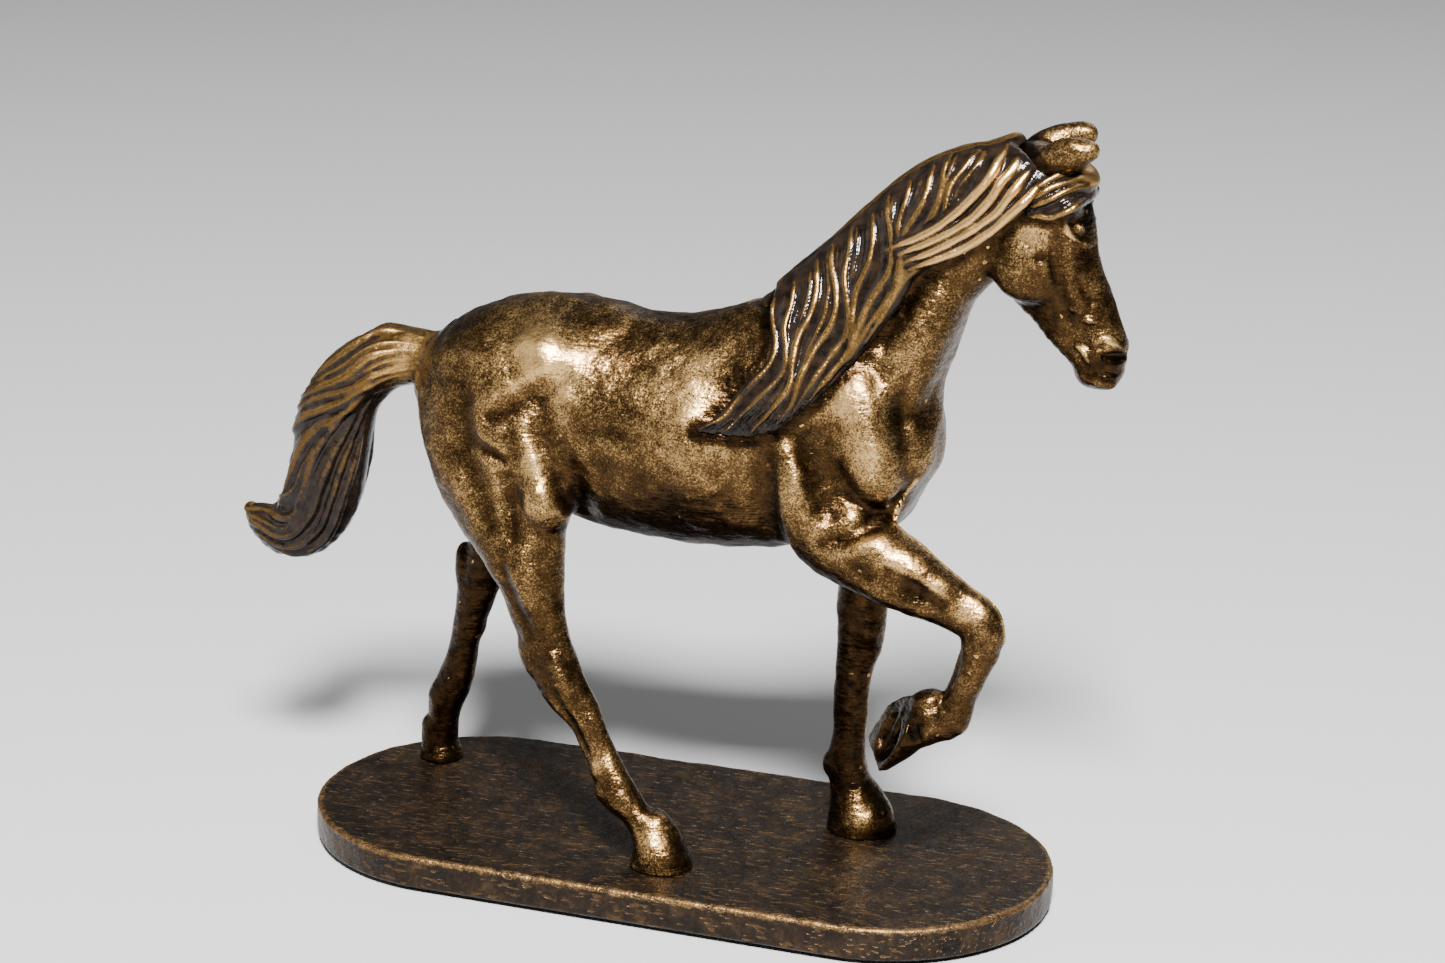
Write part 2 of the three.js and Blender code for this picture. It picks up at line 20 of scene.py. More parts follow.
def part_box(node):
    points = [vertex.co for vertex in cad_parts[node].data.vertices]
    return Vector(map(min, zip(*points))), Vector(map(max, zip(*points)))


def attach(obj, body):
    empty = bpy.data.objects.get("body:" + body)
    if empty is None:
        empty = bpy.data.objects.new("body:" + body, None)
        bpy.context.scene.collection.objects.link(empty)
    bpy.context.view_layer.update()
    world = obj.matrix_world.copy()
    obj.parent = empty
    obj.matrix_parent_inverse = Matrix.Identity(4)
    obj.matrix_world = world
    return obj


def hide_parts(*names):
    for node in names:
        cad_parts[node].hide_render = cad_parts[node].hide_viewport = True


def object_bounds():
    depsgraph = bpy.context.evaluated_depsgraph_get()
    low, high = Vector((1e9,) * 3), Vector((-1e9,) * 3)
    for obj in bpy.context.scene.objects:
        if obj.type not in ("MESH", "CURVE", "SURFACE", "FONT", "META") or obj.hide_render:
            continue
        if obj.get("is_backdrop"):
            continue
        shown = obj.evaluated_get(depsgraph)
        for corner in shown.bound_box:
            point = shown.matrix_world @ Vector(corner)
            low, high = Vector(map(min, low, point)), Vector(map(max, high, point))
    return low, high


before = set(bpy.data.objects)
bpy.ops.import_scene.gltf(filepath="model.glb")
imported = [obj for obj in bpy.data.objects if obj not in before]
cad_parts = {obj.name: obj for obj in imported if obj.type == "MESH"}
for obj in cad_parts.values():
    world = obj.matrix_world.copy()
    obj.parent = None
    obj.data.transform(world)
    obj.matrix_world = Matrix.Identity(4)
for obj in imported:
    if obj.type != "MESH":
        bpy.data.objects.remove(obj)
cad_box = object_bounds()

# ---- Scale ---------------------------------------------------------------------------------------

DRAWN_PLINTH_LENGTH = 80.0
DRAWN_GROUND = 4.0
plinth_low, plinth_high = (np.array(corner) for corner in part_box("plinth"))
METRES_PER_MM = (plinth_high[0] - plinth_low[0]) / DRAWN_PLINTH_LENGTH
LIFT = plinth_high[2] - DRAWN_GROUND * METRES_PER_MM  # metres from drawn height to height in the frame


def to_metres(points):
    return np.asarray(points) * METRES_PER_MM + (0, 0, LIFT)


def to_drawn(points):
    return (np.asarray(points) - (0, 0, LIFT)) / METRES_PER_MM


def drawn_box(node, margin):
    """The lowest and highest corners of a CAD node in drawn millimetres, with a margin all round."""
    low, high = (to_drawn(corner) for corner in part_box(node))
    return low - margin, high + margin


COARSE = 1.0

# ---- Clay: a solid as distances on a grid --------------------------------------------------------

FAR = 5.0  # distances are only kept this far from a surface
CORNERS = list(product((0, 1), repeat=3))


def soft_min(a, b, soft):
    """The lesser of two distances, melted together where they differ by less than soft."""
    if not soft:
        return np.minimum(a, b)
    share = np.clip(0.5 + 0.5 * (b - a) / soft, 0, 1)
    return b + share * (a - b) - soft * share * (1 - share)


class Clay:
    """Distances to a solid's surface on a regular grid, negative inside."""

    def __init__(self, low, voxel, field):
        self.low = np.asarray(low, float)
        self.high = self.low + voxel * (np.array(field.shape) - 1)
        self.voxel = voxel
        self.field = field

    @classmethod
    def empty(cls, low, high, voxel):
        count = np.ceil((np.asarray(high) - low) / voxel).astype(int) + 1
        return cls(low, voxel, np.full(count, FAR, np.float32))

    def part(self, low, high):
        """The same grid between two corners, sharing this clay's distances."""
        first = np.floor((np.asarray(low) - self.low) / self.voxel).astype(int)
        last = np.ceil((np.asarray(high) - self.low) / self.voxel).astype(int) + 1
        first = np.clip(first, 0, self.field.shape)
        last = np.clip(last, first, self.field.shape)
        view = self.field[tuple(slice(a, b) for a, b in zip(first, last))]
        return Clay(self.low + first * self.voxel, self.voxel, view)

    def axes(self):
        """The grid's x, y and z, each shaped to spread over the field."""
        steps = (np.arange(n) * self.voxel + a for n, a in zip(self.field.shape, self.low))
        return np.ix_(*(line.astype(np.float32) for line in steps))

    def _near(self, shape, soft):
        reach = soft + 2 * self.voxel
        return self.part(shape.low - reach, shape.high + reach)

    def add(self, shape, soft=0.0):
        part = self._near(shape, soft)
        if part.field.size:
            part.field[...] = soft_min(part.field, shape.distances(part), soft)

    def cut(self, shape, soft=0.0):
        part = self._near(shape, soft)
        if part.field.size:
            part.field[...] = -soft_min(-part.field, shape.distances(part), soft)

    def cut_beyond(self, point, normal, box):
        """Cuts away what is past a plane, inside a box."""
        part = self.part(*box)
        if part.field.size:
            away = sum(n * (a - p) for n, a, p in zip(unit(normal), part.axes(), point))
            np.maximum(part.field, away.astype(np.float32), out=part.field)

    def hollow_out(self, other, gap):
        """Cuts away what is inside another clay, or nearer to it than a gap."""
        grid = np.stack(np.broadcast_arrays(*self.axes()), axis=-1).reshape(-1, 3)
        taken = (gap - other.sample(grid)).reshape(self.field.shape)
        np.maximum(self.field, taken.astype(np.float32), out=self.field)

    def sample(self, points):
        """The distances at points, by straight steps between grid points."""
        place = (np.asarray(points) - self.low) / self.voxel
        base = np.clip(np.floor(place).astype(int), 0, np.array(self.field.shape) - 2)
        part = np.clip(place - base, 0, 1)
        total = np.zeros(len(place))
        for corner in CORNERS:
            weight = np.prod(np.where(corner, part, 1 - part), axis=1)
            total += weight * self.field[tuple((base + corner).T)]
        return total

    def settle(self, points, lift, rounds=8, feel=0.4):
        """Moves points along the field's slope until they stand lift above the surface."""
        points = np.array(points, float)
        for _ in range(rounds):
            nudges = np.eye(3) * feel
            slope = np.stack([self.sample(points + n) - self.sample(points - n) for n in nudges], axis=1)
            slope /= np.maximum(np.linalg.norm(slope, axis=1), 1e-6)[:, None]
            points -= (self.sample(points) - lift)[:, None] * slope
        return points


def unit(v):
    v = np.asarray(v, float)
    return v / np.linalg.norm(v)


def ellipse_distance(offsets, reaches):
    """Near enough the distance to an ellipsoid's surface, from offsets along its axes."""
    scaled = sum((o / r) ** 2 for o, r in zip(offsets, reaches))
    steep = sum((o / (r * r)) ** 2 for o, r in zip(offsets, reaches))
    level = np.sqrt(scaled)
    return level * (level - 1) / np.sqrt(steep + 1e-9)


class Blob:
    """An ellipsoid with its own axes."""

    def __init__(self, centre, reaches, axes=np.eye(3)):
        self.centre = np.asarray(centre, float)
        self.reaches = reaches
        self.turned = axes
        extent = np.abs(np.asarray(axes).T) @ np.asarray(reaches)
        self.low, self.high = self.centre - extent, self.centre + extent

    def distances(self, part):
        offset = [a - c for a, c in zip(part.axes(), self.centre)]
        along = [sum(n * o for n, o in zip(axis, offset)) for axis in self.turned]
        return ellipse_distance(along, self.reaches).astype(np.float32)


def muscle(start, end, width, depth):
    """A spindle between two points, with a width across it in the side view and a depth across the body."""
    start, end = np.asarray(start, float), np.asarray(end, float)
    length = np.linalg.norm(end - start) / 2
    along = unit(end - start)
    outward = unit(np.array([0, 1, 0]) - along[1] * along)
    across = np.cross(outward, along)
    return Blob((start + end) / 2, (length, width, depth), np.array([along, across, outward]))


def smooth_path(stations, step):
    """A Catmull-Rom curve through rows of numbers, a row about every step along it."""
    rows = np.asarray(stations, float)
    ends = np.vstack([2 * rows[0] - rows[1], rows, 2 * rows[-1] - rows[-2]])
    path = []
    for p0, p1, p2, p3 in zip(ends, ends[1:], ends[2:], ends[3:]):
        count = max(1, int(np.ceil(np.linalg.norm((p2 - p1)[:3]) / step)))
        t = np.arange(count)[:, None] / count
        bend = (2 * p0 - 5 * p1 + 4 * p2 - p3) * t**2 + (3 * p1 - p0 - 3 * p2 + p3) * t**3
        path.append(0.5 * (2 * p1 + (p2 - p0) * t + bend))
    return np.vstack([*path, rows[-1:]])


class Sweep:
    """A limb through stations of x, y, z and its reach to the front, to the back and to each side.

    Front is on the right of the way the stations run, seen from the left, so up on a limb that runs forwards.
    """

    def __init__(self, stations, step=1.2, halo=FAR / 2):
        self.path = smooth_path(stations, step)
        self.halo = halo
        reach = self.path[:, 3:].max(axis=1)[:, None]
        self.low = (self.path[:, :3] - reach).min(axis=0)
        self.high = (self.path[:, :3] + reach).max(axis=0)

    def distances(self, part):
        layer = Clay(part.low, part.voxel, np.full(part.field.shape, FAR, np.float32))
        for start, end in zip(self.path, self.path[1:]):
            reach = max(start[3:].max(), end[3:].max()) + self.halo
            low = np.minimum(start[:3], end[:3]) - reach
            high = np.maximum(start[:3], end[:3]) + reach
            bit = layer.part(low, high)
            if bit.field.size:
                np.minimum(bit.field, stretch_distance(bit, start, end), out=bit.field)
        return layer.field


def stretch_distance(part, start, end):
    """Distances to one straight stretch of a limb."""
    way = end[:3] - start[:3]
    length = max(np.linalg.norm(way), 1e-6)
    way = way / length
    side = unit(np.array([0, 1, 0]) - way[1] * way) if abs(way[1]) < 0.99 else np.array([1.0, 0, 0])
    front = np.cross(way, side)
    offset = [a - p for a, p in zip(part.axes(), start[:3])]
    ahead = sum(w * o for w, o in zip(way, offset))
    share = np.clip(ahead / length, 0, 1)
    past = ahead - share * length
    to_front = sum(f * o for f, o in zip(front, offset))
    to_side = sum(s * o for s, o in zip(side, offset))
    reach = start[3:, None, None, None] + (end - start)[3:, None, None, None] * share
    reach = np.maximum(reach, 0.05)
    front_reach = np.where(to_front > 0, reach[0], reach[1])
    round_end = np.minimum(front_reach, reach[2])
    reaches = (front_reach, reach[2], round_end)
    return ellipse_distance((to_front, to_side, past), reaches).astype(np.float32)


def tube(points, radius):
    """Stations of a round limb through points, its radius one number or one for each point."""
    points = np.asarray(points, float)
    radii = np.broadcast_to(np.asarray(radius, float), len(points))[:, None]
    return np.hstack([points, radii, radii, radii])


def mirrored(stations):
    """The same on the horse's other side."""
    flipped = np.array(stations, float)
    flipped[..., 1] *= -1
    return flipped


# ---- Meshing -------------------------------------------------------------------------------------


def surface_net(clay):
    """The surface as one vertex in each cell that it crosses, joined by quads: vertices and faces."""
    field = clay.field
    inside = field < 0
    corner = {c: inside[tuple(slice(i, n - 1 + i) for i, n in zip(c, inside.shape))] for c in CORNERS}
    filled = sum(corner[c].astype(np.uint8) for c in CORNERS)
    active = (filled > 0) & (filled < 8)
    cells = np.argwhere(active)
    ids = np.full(active.shape, -1, np.int64)
    ids[active] = np.arange(len(cells))
    total, count = np.zeros((len(cells), 3)), np.zeros(len(cells))
    for c in CORNERS:
        for axis in range(3):
            if c[axis]:
                continue
            other = np.array(c)
            other[axis] = 1
            here = field[tuple((cells + c).T)]
            there = field[tuple((cells + other).T)]
            crossed = (here < 0) != (there < 0)
            share = here[crossed] / (here[crossed] - there[crossed])
            total[crossed] += np.array(c) + share[:, None] * (other - c)
            count[crossed] += 1
    points = clay.low + clay.voxel * (cells + total / count[:, None])
    faces = []
    for axis in range(3):
        near = np.moveaxis(inside, axis, 0)
        flips = np.moveaxis(near[:-1] != near[1:], 0, axis)
        edges = np.argwhere(flips)
        u, v = (axis + 1) % 3, (axis + 2) % 3
        limit = np.array(ids.shape)
        kept = (edges[:, u] > 0) & (edges[:, v] > 0) & (edges[:, u] < limit[u]) & (edges[:, v] < limit[v])
        edges = edges[kept]
        around = []
        for du, dv in ((0, 0), (-1, 0), (-1, -1), (0, -1)):
            cell = edges.copy()
            cell[:, u] += du
            cell[:, v] += dv
            around.append(ids[tuple(cell.T)])
        quads = np.stack(around, axis=1)
        outward = inside[tuple(edges.T)]
        quads[~outward] = quads[~outward][:, ::-1]
        faces.append(quads)
    return points, np.vstack(faces)


def vertex_normals(points, faces):
    diagonal_a = points[faces[:, 2]] - points[faces[:, 0]]
    diagonal_b = points[faces[:, 3]] - points[faces[:, 1]]
    normals = np.cross(diagonal_a, diagonal_b)
    summed = np.stack(
        [np.bincount(faces.ravel(), np.repeat(normals[:, i], 4), len(points)) for i in range(3)],
        axis=1,
    )
    return summed / np.maximum(np.linalg.norm(summed, axis=1), 1e-12)[:, None]


class Neighbours:
    """Averages over the vertices joined to each vertex."""

    def __init__(self, faces, count):
        pairs = np.vstack([faces[:, [i, (i + 1) % 4]] for i in range(4)])
        self.a, self.b = pairs[:, 0], pairs[:, 1]
        self.count = count
        self.share = 1 / np.maximum(np.bincount(self.a, minlength=count), 1)

    def average(self, values):
        columns = [np.bincount(self.a, column[self.b], self.count) for column in values.T]
        return np.stack(columns, axis=1) * self.share[:, None]


def hollowness(points, normals, neighbours, rounds):
    """How far the surface would rise if it were smoothed: above 0 in a hollow, below 0 on a ridge."""
    smoothed = points
    for _ in range(rounds):
        smoothed = 0.5 * smoothed + 0.5 * neighbours.average(smoothed)
    return ((smoothed - points) * normals).sum(axis=1)


def lattice_noise(points, size, seed):
    """Smooth noise from -1 to 1 with features of a size."""
    scaled = np.asarray(points) / size + seed * 13.7
    base = np.floor(scaled).astype(np.int64)
    part = scaled - base
    part = part * part * (3 - 2 * part)
    total = np.zeros(len(scaled))
    for corner in CORNERS:
        x, y, z = (base + corner).T
        mixed = (x * 73856093) ^ (y * 19349663) ^ (z * 83492791)
        mixed = (mixed ^ (mixed >> 13)) * 1274126177
        value = ((mixed ^ (mixed >> 16)) & 0xFFFF) / 0x7FFF - 1
        total += value * np.prod(np.where(corner, part, 1 - part), axis=1)
    return total


def make_object(name, points, faces):
    mesh = bpy.data.meshes.new(name)
    mesh.from_pydata(to_metres(points).tolist(), [], faces.tolist())
    mesh.update()
    piece = bpy.data.objects.new(name, mesh)
    bpy.context.scene.collection.objects.link(piece)
    return piece


def write_attribute(mesh, name, values):
    attribute = mesh.attributes.new(name, "FLOAT", "POINT")
    attribute.data.foreach_set("value", values.astype(np.float32))


def close_and_smooth(piece):
    """Caps the open ends with flat faces and shades the rest smooth."""
    build = bmesh.new()
    build.from_mesh(piece.data)
    rim = [edge for edge in build.edges if edge.is_boundary]
    for face in build.faces:
        face.smooth = True
    caps = bmesh.ops.holes_fill(build, edges=rim, sides=0)["faces"]
    for face in caps:
        face.smooth = False
    for edge in rim:
        edge.smooth = False
    bmesh.ops.triangulate(build, faces=caps)
    build.to_mesh(piece.data)
    build.free()


# ---- Joints, where the castings part: each is where its dowel is ---------------------------------

OUTER_CASTINGS = {
    "neck_joint_dowel": "neck_and_head",
    "tail_joint_dowel": "tail",
    "right_hind_joint_dowel": "right_hind_leg",
    "left_hind_joint_dowel": "left_hind_leg",
    "left_fore_joint_dowel": "left_foreleg",
    "right_fore_joint_dowel": "right_foreleg_raised",
}
JOINT_REACH = 3.0  # how far round a casting its own joint cuts


class Joint:
    def __init__(self, dowel, outer):
        points = to_drawn([v.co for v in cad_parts[dowel].data.vertices])
        self.point = (points.min(axis=0) + points.max(axis=0)) / 2
        self.low, self.high = drawn_box(outer, JOINT_REACH)
        along = np.linalg.svd(points - points.mean(axis=0), full_matrices=False)[2][0]
        outwards = (self.low + self.high) / 2 - self.point
        self.into = along * np.sign(along @ outwards)
        self.outer = outer

    def beyond(self, points):
        """How far past the joint points are, towards the outer casting."""
        return (points - self.point) @ self.into

    def about(self, points):
        return ((points > self.low) & (points < self.high)).all(axis=1)


joints = [Joint(dowel, outer) for dowel, outer in OUTER_CASTINGS.items()]


def trim(casting, points, faces, normals):
    """Keeps a casting's own side of its joints, with its rim moved onto each joint's plane."""
    points = points.copy()
    for joint in joints:
        beyond = joint.beyond(points)
        if joint.outer == casting:
            wanted = beyond
        elif casting == "torso":
            wanted = np.where(joint.about(points), -beyond, FAR)
        else:
            continue
        keep = wanted[faces].mean(axis=1) > 0
        used, dropped = np.zeros(len(points), bool), np.zeros(len(points), bool)
        used[faces[keep]] = True
        dropped[faces[~keep]] = True
        rim = used & dropped
        along = joint.into - (normals[rim] @ joint.into)[:, None] * normals[rim]
        steep = along @ joint.into
        along = np.where(steep[:, None] > 0.2, along / np.maximum(steep, 0.2)[:, None], joint.into)
        points[rim] -= beyond[rim][:, None] * along
        faces = faces[keep]
    return points, faces


def drop_unused(points, faces, *values):
    used = np.zeros(len(points), bool)
    used[faces] = True
    new_ids = np.cumsum(used) - 1
    return (points[used], new_ids[faces], *(value[used] for value in values))


# ---- The horse's masses --------------------------------------------------------------------------

TORSO = [
    [-23.6, 0, 50.8, 4.6, 6.8, 5.6],
    [-20.8, 0, 50.0, 8.1, 8.8, 8.4],
    [-16.0, 0, 49.4, 10.9, 10.0, 9.8],
    [-10.5, 0, 49.2, 11.2, 11.2, 9.5],
    [-5.0, 0, 48.6, 11.0, 12.1, 9.9],
    [1.0, 0, 48.4, 11.3, 12.5, 10.4],
    [7.0, 0, 48.8, 12.2, 12.6, 9.8],
    [12.5, 0, 49.3, 12.0, 11.6, 8.6],
    [17.6, 0, 49.8, 9.6, 9.8, 7.2],
    [21.4, 0, 49.8, 6.0, 6.8, 5.6],
]
NECK = [
    [9.0, 0, 49.5, 10.0, 9.0, 7.0],
    [14.0, 0, 54.6, 10.0, 9.8, 6.9],
    [18.0, 0, 59.0, 9.0, 9.6, 5.9],
    [21.0, 0, 63.2, 7.8, 7.8, 4.9],
    [24.0, 0, 67.6, 6.6, 6.6, 4.2],
    [27.4, 0, 71.4, 6.0, 6.4, 3.8],
    [31.4, 0, 74.0, 5.2, 6.2, 3.5],
    [34.6, 0, 75.4, 4.0, 5.0, 3.2],
]
HEAD = [
    [34.8, 0, 77.4, 3.2, 3.2, 3.0],
    [36.4, 0, 74.4, 4.0, 4.6, 3.6],
    [37.3, 0, 71.4, 3.9, 5.6, 3.4],
    [38.4, 0, 68.4, 3.5, 6.4, 2.9],
    [39.8, 0, 65.4, 3.2, 5.2, 2.4],
    [41.1, 0, 62.6, 3.0, 4.1, 2.2],
    [42.1, 0, 60.4, 3.0, 3.1, 2.4],
    [42.4, 0, 58.9, 2.5, 2.7, 2.2],
]
RIGHT_HIND = [
    [-17.0, -3.8, 51.4, 8.0, 8.6, 5.2],
    [-17.6, -5.0, 47.0, 8.4, 9.4, 4.8],
    [-17.2, -6.2, 42.6, 8.0, 7.8, 4.2],
    [-16.0, -7.2, 38.6, 6.2, 6.0, 3.6],
    [-14.4, -8.2, 34.9, 4.3, 4.3, 3.1],
    [-13.2, -8.7, 31.4, 3.2, 3.1, 2.5],
    [-12.2, -8.9, 28.2, 2.7, 2.8, 2.0],
    [-11.2, -9.1, 24.9, 2.6, 2.8, 1.8],
    [-9.8, -9.2, 21.8, 2.5, 2.5, 1.7],
    [-7.5, -9.4, 18.6, 2.0, 1.6, 1.35],
    [-5.8, -9.6, 15.4, 1.8, 1.5, 1.2],
    [-4.3, -9.8, 12.8, 1.8, 1.8, 1.4],
    [-2.9, -10.1, 10.9, 1.8, 2.0, 1.6],
    [-1.2, -10.3, 9.3, 1.6, 1.6, 1.5],
    [0.2, -10.4, 7.4, 1.6, 1.7, 1.7],
]
LEFT_HIND = [
    [-17.4, 3.8, 51.4, 8.0, 8.4, 5.2],
    [-18.2, 5.0, 46.6, 8.2, 8.4, 4.8],
    [-19.0, 6.0, 41.8, 7.2, 6.6, 4.2],
    [-20.6, 6.9, 37.2, 5.2, 4.6, 3.4],
    [-22.6, 7.6, 33.2, 3.6, 3.6, 2.8],
    [-24.4, 8.0, 29.9, 2.8, 2.4, 2.2],
    [-25.9, 8.2, 26.8, 2.5, 2.3, 1.8],
    [-26.7, 8.3, 23.6, 2.2, 2.2, 1.7],
    [-27.6, 8.4, 19.6, 1.6, 1.9, 1.3],
    [-28.3, 8.5, 16.0, 1.5, 1.9, 1.2],
    [-29.2, 8.6, 13.2, 1.6, 2.0, 1.4],
    [-30.3, 8.6, 11.0, 1.8, 2.1, 1.6],
    [-30.6, 8.7, 9.0, 1.6, 1.8, 1.5],
    [-30.8, 8.7, 7.2, 1.6, 1.8, 1.7],
]
LEFT_FORE = [
    [15.0, 4.0, 44.0, 5.0, 5.2, 3.6],
    [16.6, 5.0, 39.0, 4.2, 4.2, 3.0],
    [17.5, 5.7, 34.4, 3.2, 3.2, 2.5],
    [17.7, 6.0, 30.2, 2.6, 2.9, 2.1],
    [17.6, 6.1, 26.8, 2.5, 2.6, 1.9],
    [17.3, 6.2, 24.4, 2.4, 2.5, 1.7],
    [16.9, 6.2, 20.8, 1.8, 2.0, 1.3],
    [16.6, 6.3, 16.8, 1.8, 2.0, 1.2],
    [16.4, 6.3, 13.4, 1.8, 2.0, 1.4],
    [16.5, 6.4, 11.0, 2.0, 2.3, 1.7],
    [17.3, 6.5, 8.9, 1.8, 1.9, 1.6],
    [18.0, 6.6, 7.2, 2.0, 2.1, 1.8],
]
RIGHT_FORE = [
    [13.6, -4.2, 44.4, 5.0, 5.4, 3.8],
    [18.2, -5.6, 40.2, 4.6, 4.4, 3.5],
    [22.8, -6.1, 38.4, 3.9, 4.1, 2.9],
    [26.8, -6.3, 36.6, 3.2, 3.4, 2.5],
    [30.4, -6.4, 34.9, 2.7, 2.8, 2.1],
    [33.0, -6.4, 33.2, 2.5, 2.4, 1.9],
    [33.3, -6.4, 30.6, 2.0, 2.1, 1.7],
    [32.4, -6.4, 27.8, 1.7, 1.8, 1.4],
    [31.5, -6.4, 25.2, 1.7, 1.7, 1.3],
    [30.7, -6.4, 23.1, 2.0, 2.0, 1.6],
    [29.2, -6.4, 22.3, 1.9, 1.8, 1.6],
    [27.6, -6.4, 21.8, 1.9, 1.9, 1.7],
]
EAR = [
    [35.2, -1.8, 77.9, 1.4, 1.5, 1.2],
    [37.0, -2.3, 79.2, 1.5, 1.6, 1.3],
    [38.8, -2.7, 80.0, 1.5, 1.55, 1.3],
    [40.2, -2.8, 80.5, 1.25, 1.35, 1.2],
    [40.9, -2.8, 80.6, 0.95, 1.1, 0.9],
]
LEFT_EAR_SHIFT = (-1.5, 0.0, 0.55)
TAIL_CORE = [
    [-23.5, 0, 51.8, 2.8, 2.9, 2.7],
    [-27.5, 0, 52.1, 2.8, 2.8, 2.6],
    [-31.5, 0, 52.0, 3.1, 3.1, 2.8],
    [-35.0, 0, 50.6, 3.5, 3.4, 3.0],
    [-37.9, 0, 47.6, 3.9, 3.8, 3.2],
    [-39.4, 0, 43.8, 4.3, 4.2, 3.3],
    [-40.0, 0, 39.8, 4.2, 4.1, 3.3],
    [-40.9, 0, 35.8, 4.1, 4.2, 3.2],
    [-42.8, 0, 32.3, 3.5, 3.8, 2.9],
    [-45.6, 0, 31.2, 2.7, 2.5, 2.3],
    [-48.0, 0, 32.0, 1.6, 1.6, 1.6],
    [-49.4, 0, 33.2, 0.7, 0.7, 0.8],
]

# ---- Muscles: each a spindle from start to end, with its width, its depth and how softly it melts in 

MIRRORED_MUSCLES = [
    ((19.0, -5.4, 57.0), (22.8, -5.4, 43.6), 3.2, 3.0, 1.6),  # shoulder blade
    ((13.4, -7.2, 50.5), (15.4, -6.4, 40.6), 3.0, 3.0, 1.4),  # triceps
    ((20.6, -3.6, 50.0), (27.2, -1.8, 66.0), 2.6, 3.0, 1.6),  # from shoulder to cheek
    ((23.6, -2.6, 53.5), (23.8, -2.8, 45.0), 2.6, 2.9, 1.0),  # breast
    ((23.6, -1.6, 48.0), (20.0, -2.4, 39.4), 2.6, 3.4, 1.2),  # lower breast
    ((-14.6, -5.6, 57.6), (-9.6, -6.4, 53.6), 2.4, 3.2, 2.4),  # point of the hip
    ((-19.6, -6.0, 52.6), (-15.4, -7.4, 38.8), 3.6, 3.4, 1.4),  # back of the thigh
    ((-25.0, -3.8, 52.0), (-20.4, -5.2, 38.6), 3.0, 3.6, 1.6),  # seat bone
    ((-2.0, -5.6, 50.0), (9.0, -5.8, 46.5), 6.5, 5.2, 2.0),  # ribs
]
RIGHT_MUSCLES = [
    ((-13.4, -7.2, 51.0), (-11.0, -8.2, 38.4), 2.6, 3.0, 1.4),  # front of the thigh
    ((-12.6, -8.4, 43.5), (-11.0, -8.8, 38.6), 2.4, 2.6, 0.9),  # stifle
    ((-14.8, -8.8, 38.0), (-12.4, -9.6, 28.4), 1.9, 2.2, 1.0),  # gaskin
    ((-16.6, -8.8, 33.0), (-13.2, -9.1, 24.0), 0.7, 0.8, 0.7),  # hamstring to the hock
    ((-14.2, -9.1, 26.6), (-12.4, -9.1, 22.2), 1.1, 1.3, 0.6),  # point of the hock
    ((-10.6, -10.2, 25.6), (-8.6, -10.2, 21.4), 0.9, 1.0, 0.8),  # outer hock
    ((-4.8, -10.2, 12.2), (-4.4, -10.2, 10.2), 0.9, 1.1, 0.6),  # back of the fetlock
    ((16.4, -7.2, 42.6), (30.6, -7.6, 36.2), 2.2, 2.0, 1.0),  # top of the forearm
    ((18.0, -6.8, 38.0), (29.0, -7.4, 34.2), 1.6, 2.0, 0.9),  # underside of the forearm
    ((32.8, -6.4, 35.4), (34.2, -6.4, 31.4), 1.5, 2.1, 0.6),  # knee
    ((30.2, -6.4, 24.6), (29.8, -6.4, 22.8), 0.9, 1.4, 0.6),  # back of the raised fetlock
    ((26.4, -6.4, 24.0), (29.8, -6.4, 25.2), 0.9, 1.6, 0.7),  # heel of the raised hoof
]
LEFT_MUSCLES = [
    ((-13.8, 7.2, 51.0), (-14.0, 7.8, 39.6), 2.6, 3.0, 1.4),  # front of the thigh
    ((-15.6, 7.6, 42.0), (-16.2, 8.0, 37.8), 2.4, 2.6, 0.9),  # stifle
    ((-20.0, 7.6, 38.4), (-23.8, 8.6, 31.0), 2.0, 2.2, 1.0),  # gaskin
    ((-24.6, 7.9, 33.6), (-28.2, 8.2, 26.6), 0.7, 0.8, 0.7),  # hamstring to the hock
    ((-28.0, 8.2, 29.4), (-28.0, 8.2, 24.6), 1.0, 1.3, 0.6),  # point of the hock
    ((-31.0, 8.6, 12.2), (-31.4, 8.6, 10.2), 0.9, 1.1, 0.6),  # back of the fetlock
    ((15.6, 6.4, 43.0), (17.8, 7.4, 31.0), 2.0, 2.2, 1.2),  # forearm
    ((18.4, 6.1, 28.6), (18.6, 6.1, 24.6), 1.4, 1.9, 0.6),  # knee
    ((14.9, 6.2, 12.4), (14.7, 6.3, 10.2), 0.9, 1.1, 0.6),  # back of the fetlock
]

# ---- Creases: each runs over points on the side of the body, with its radius, its depth and its softness 

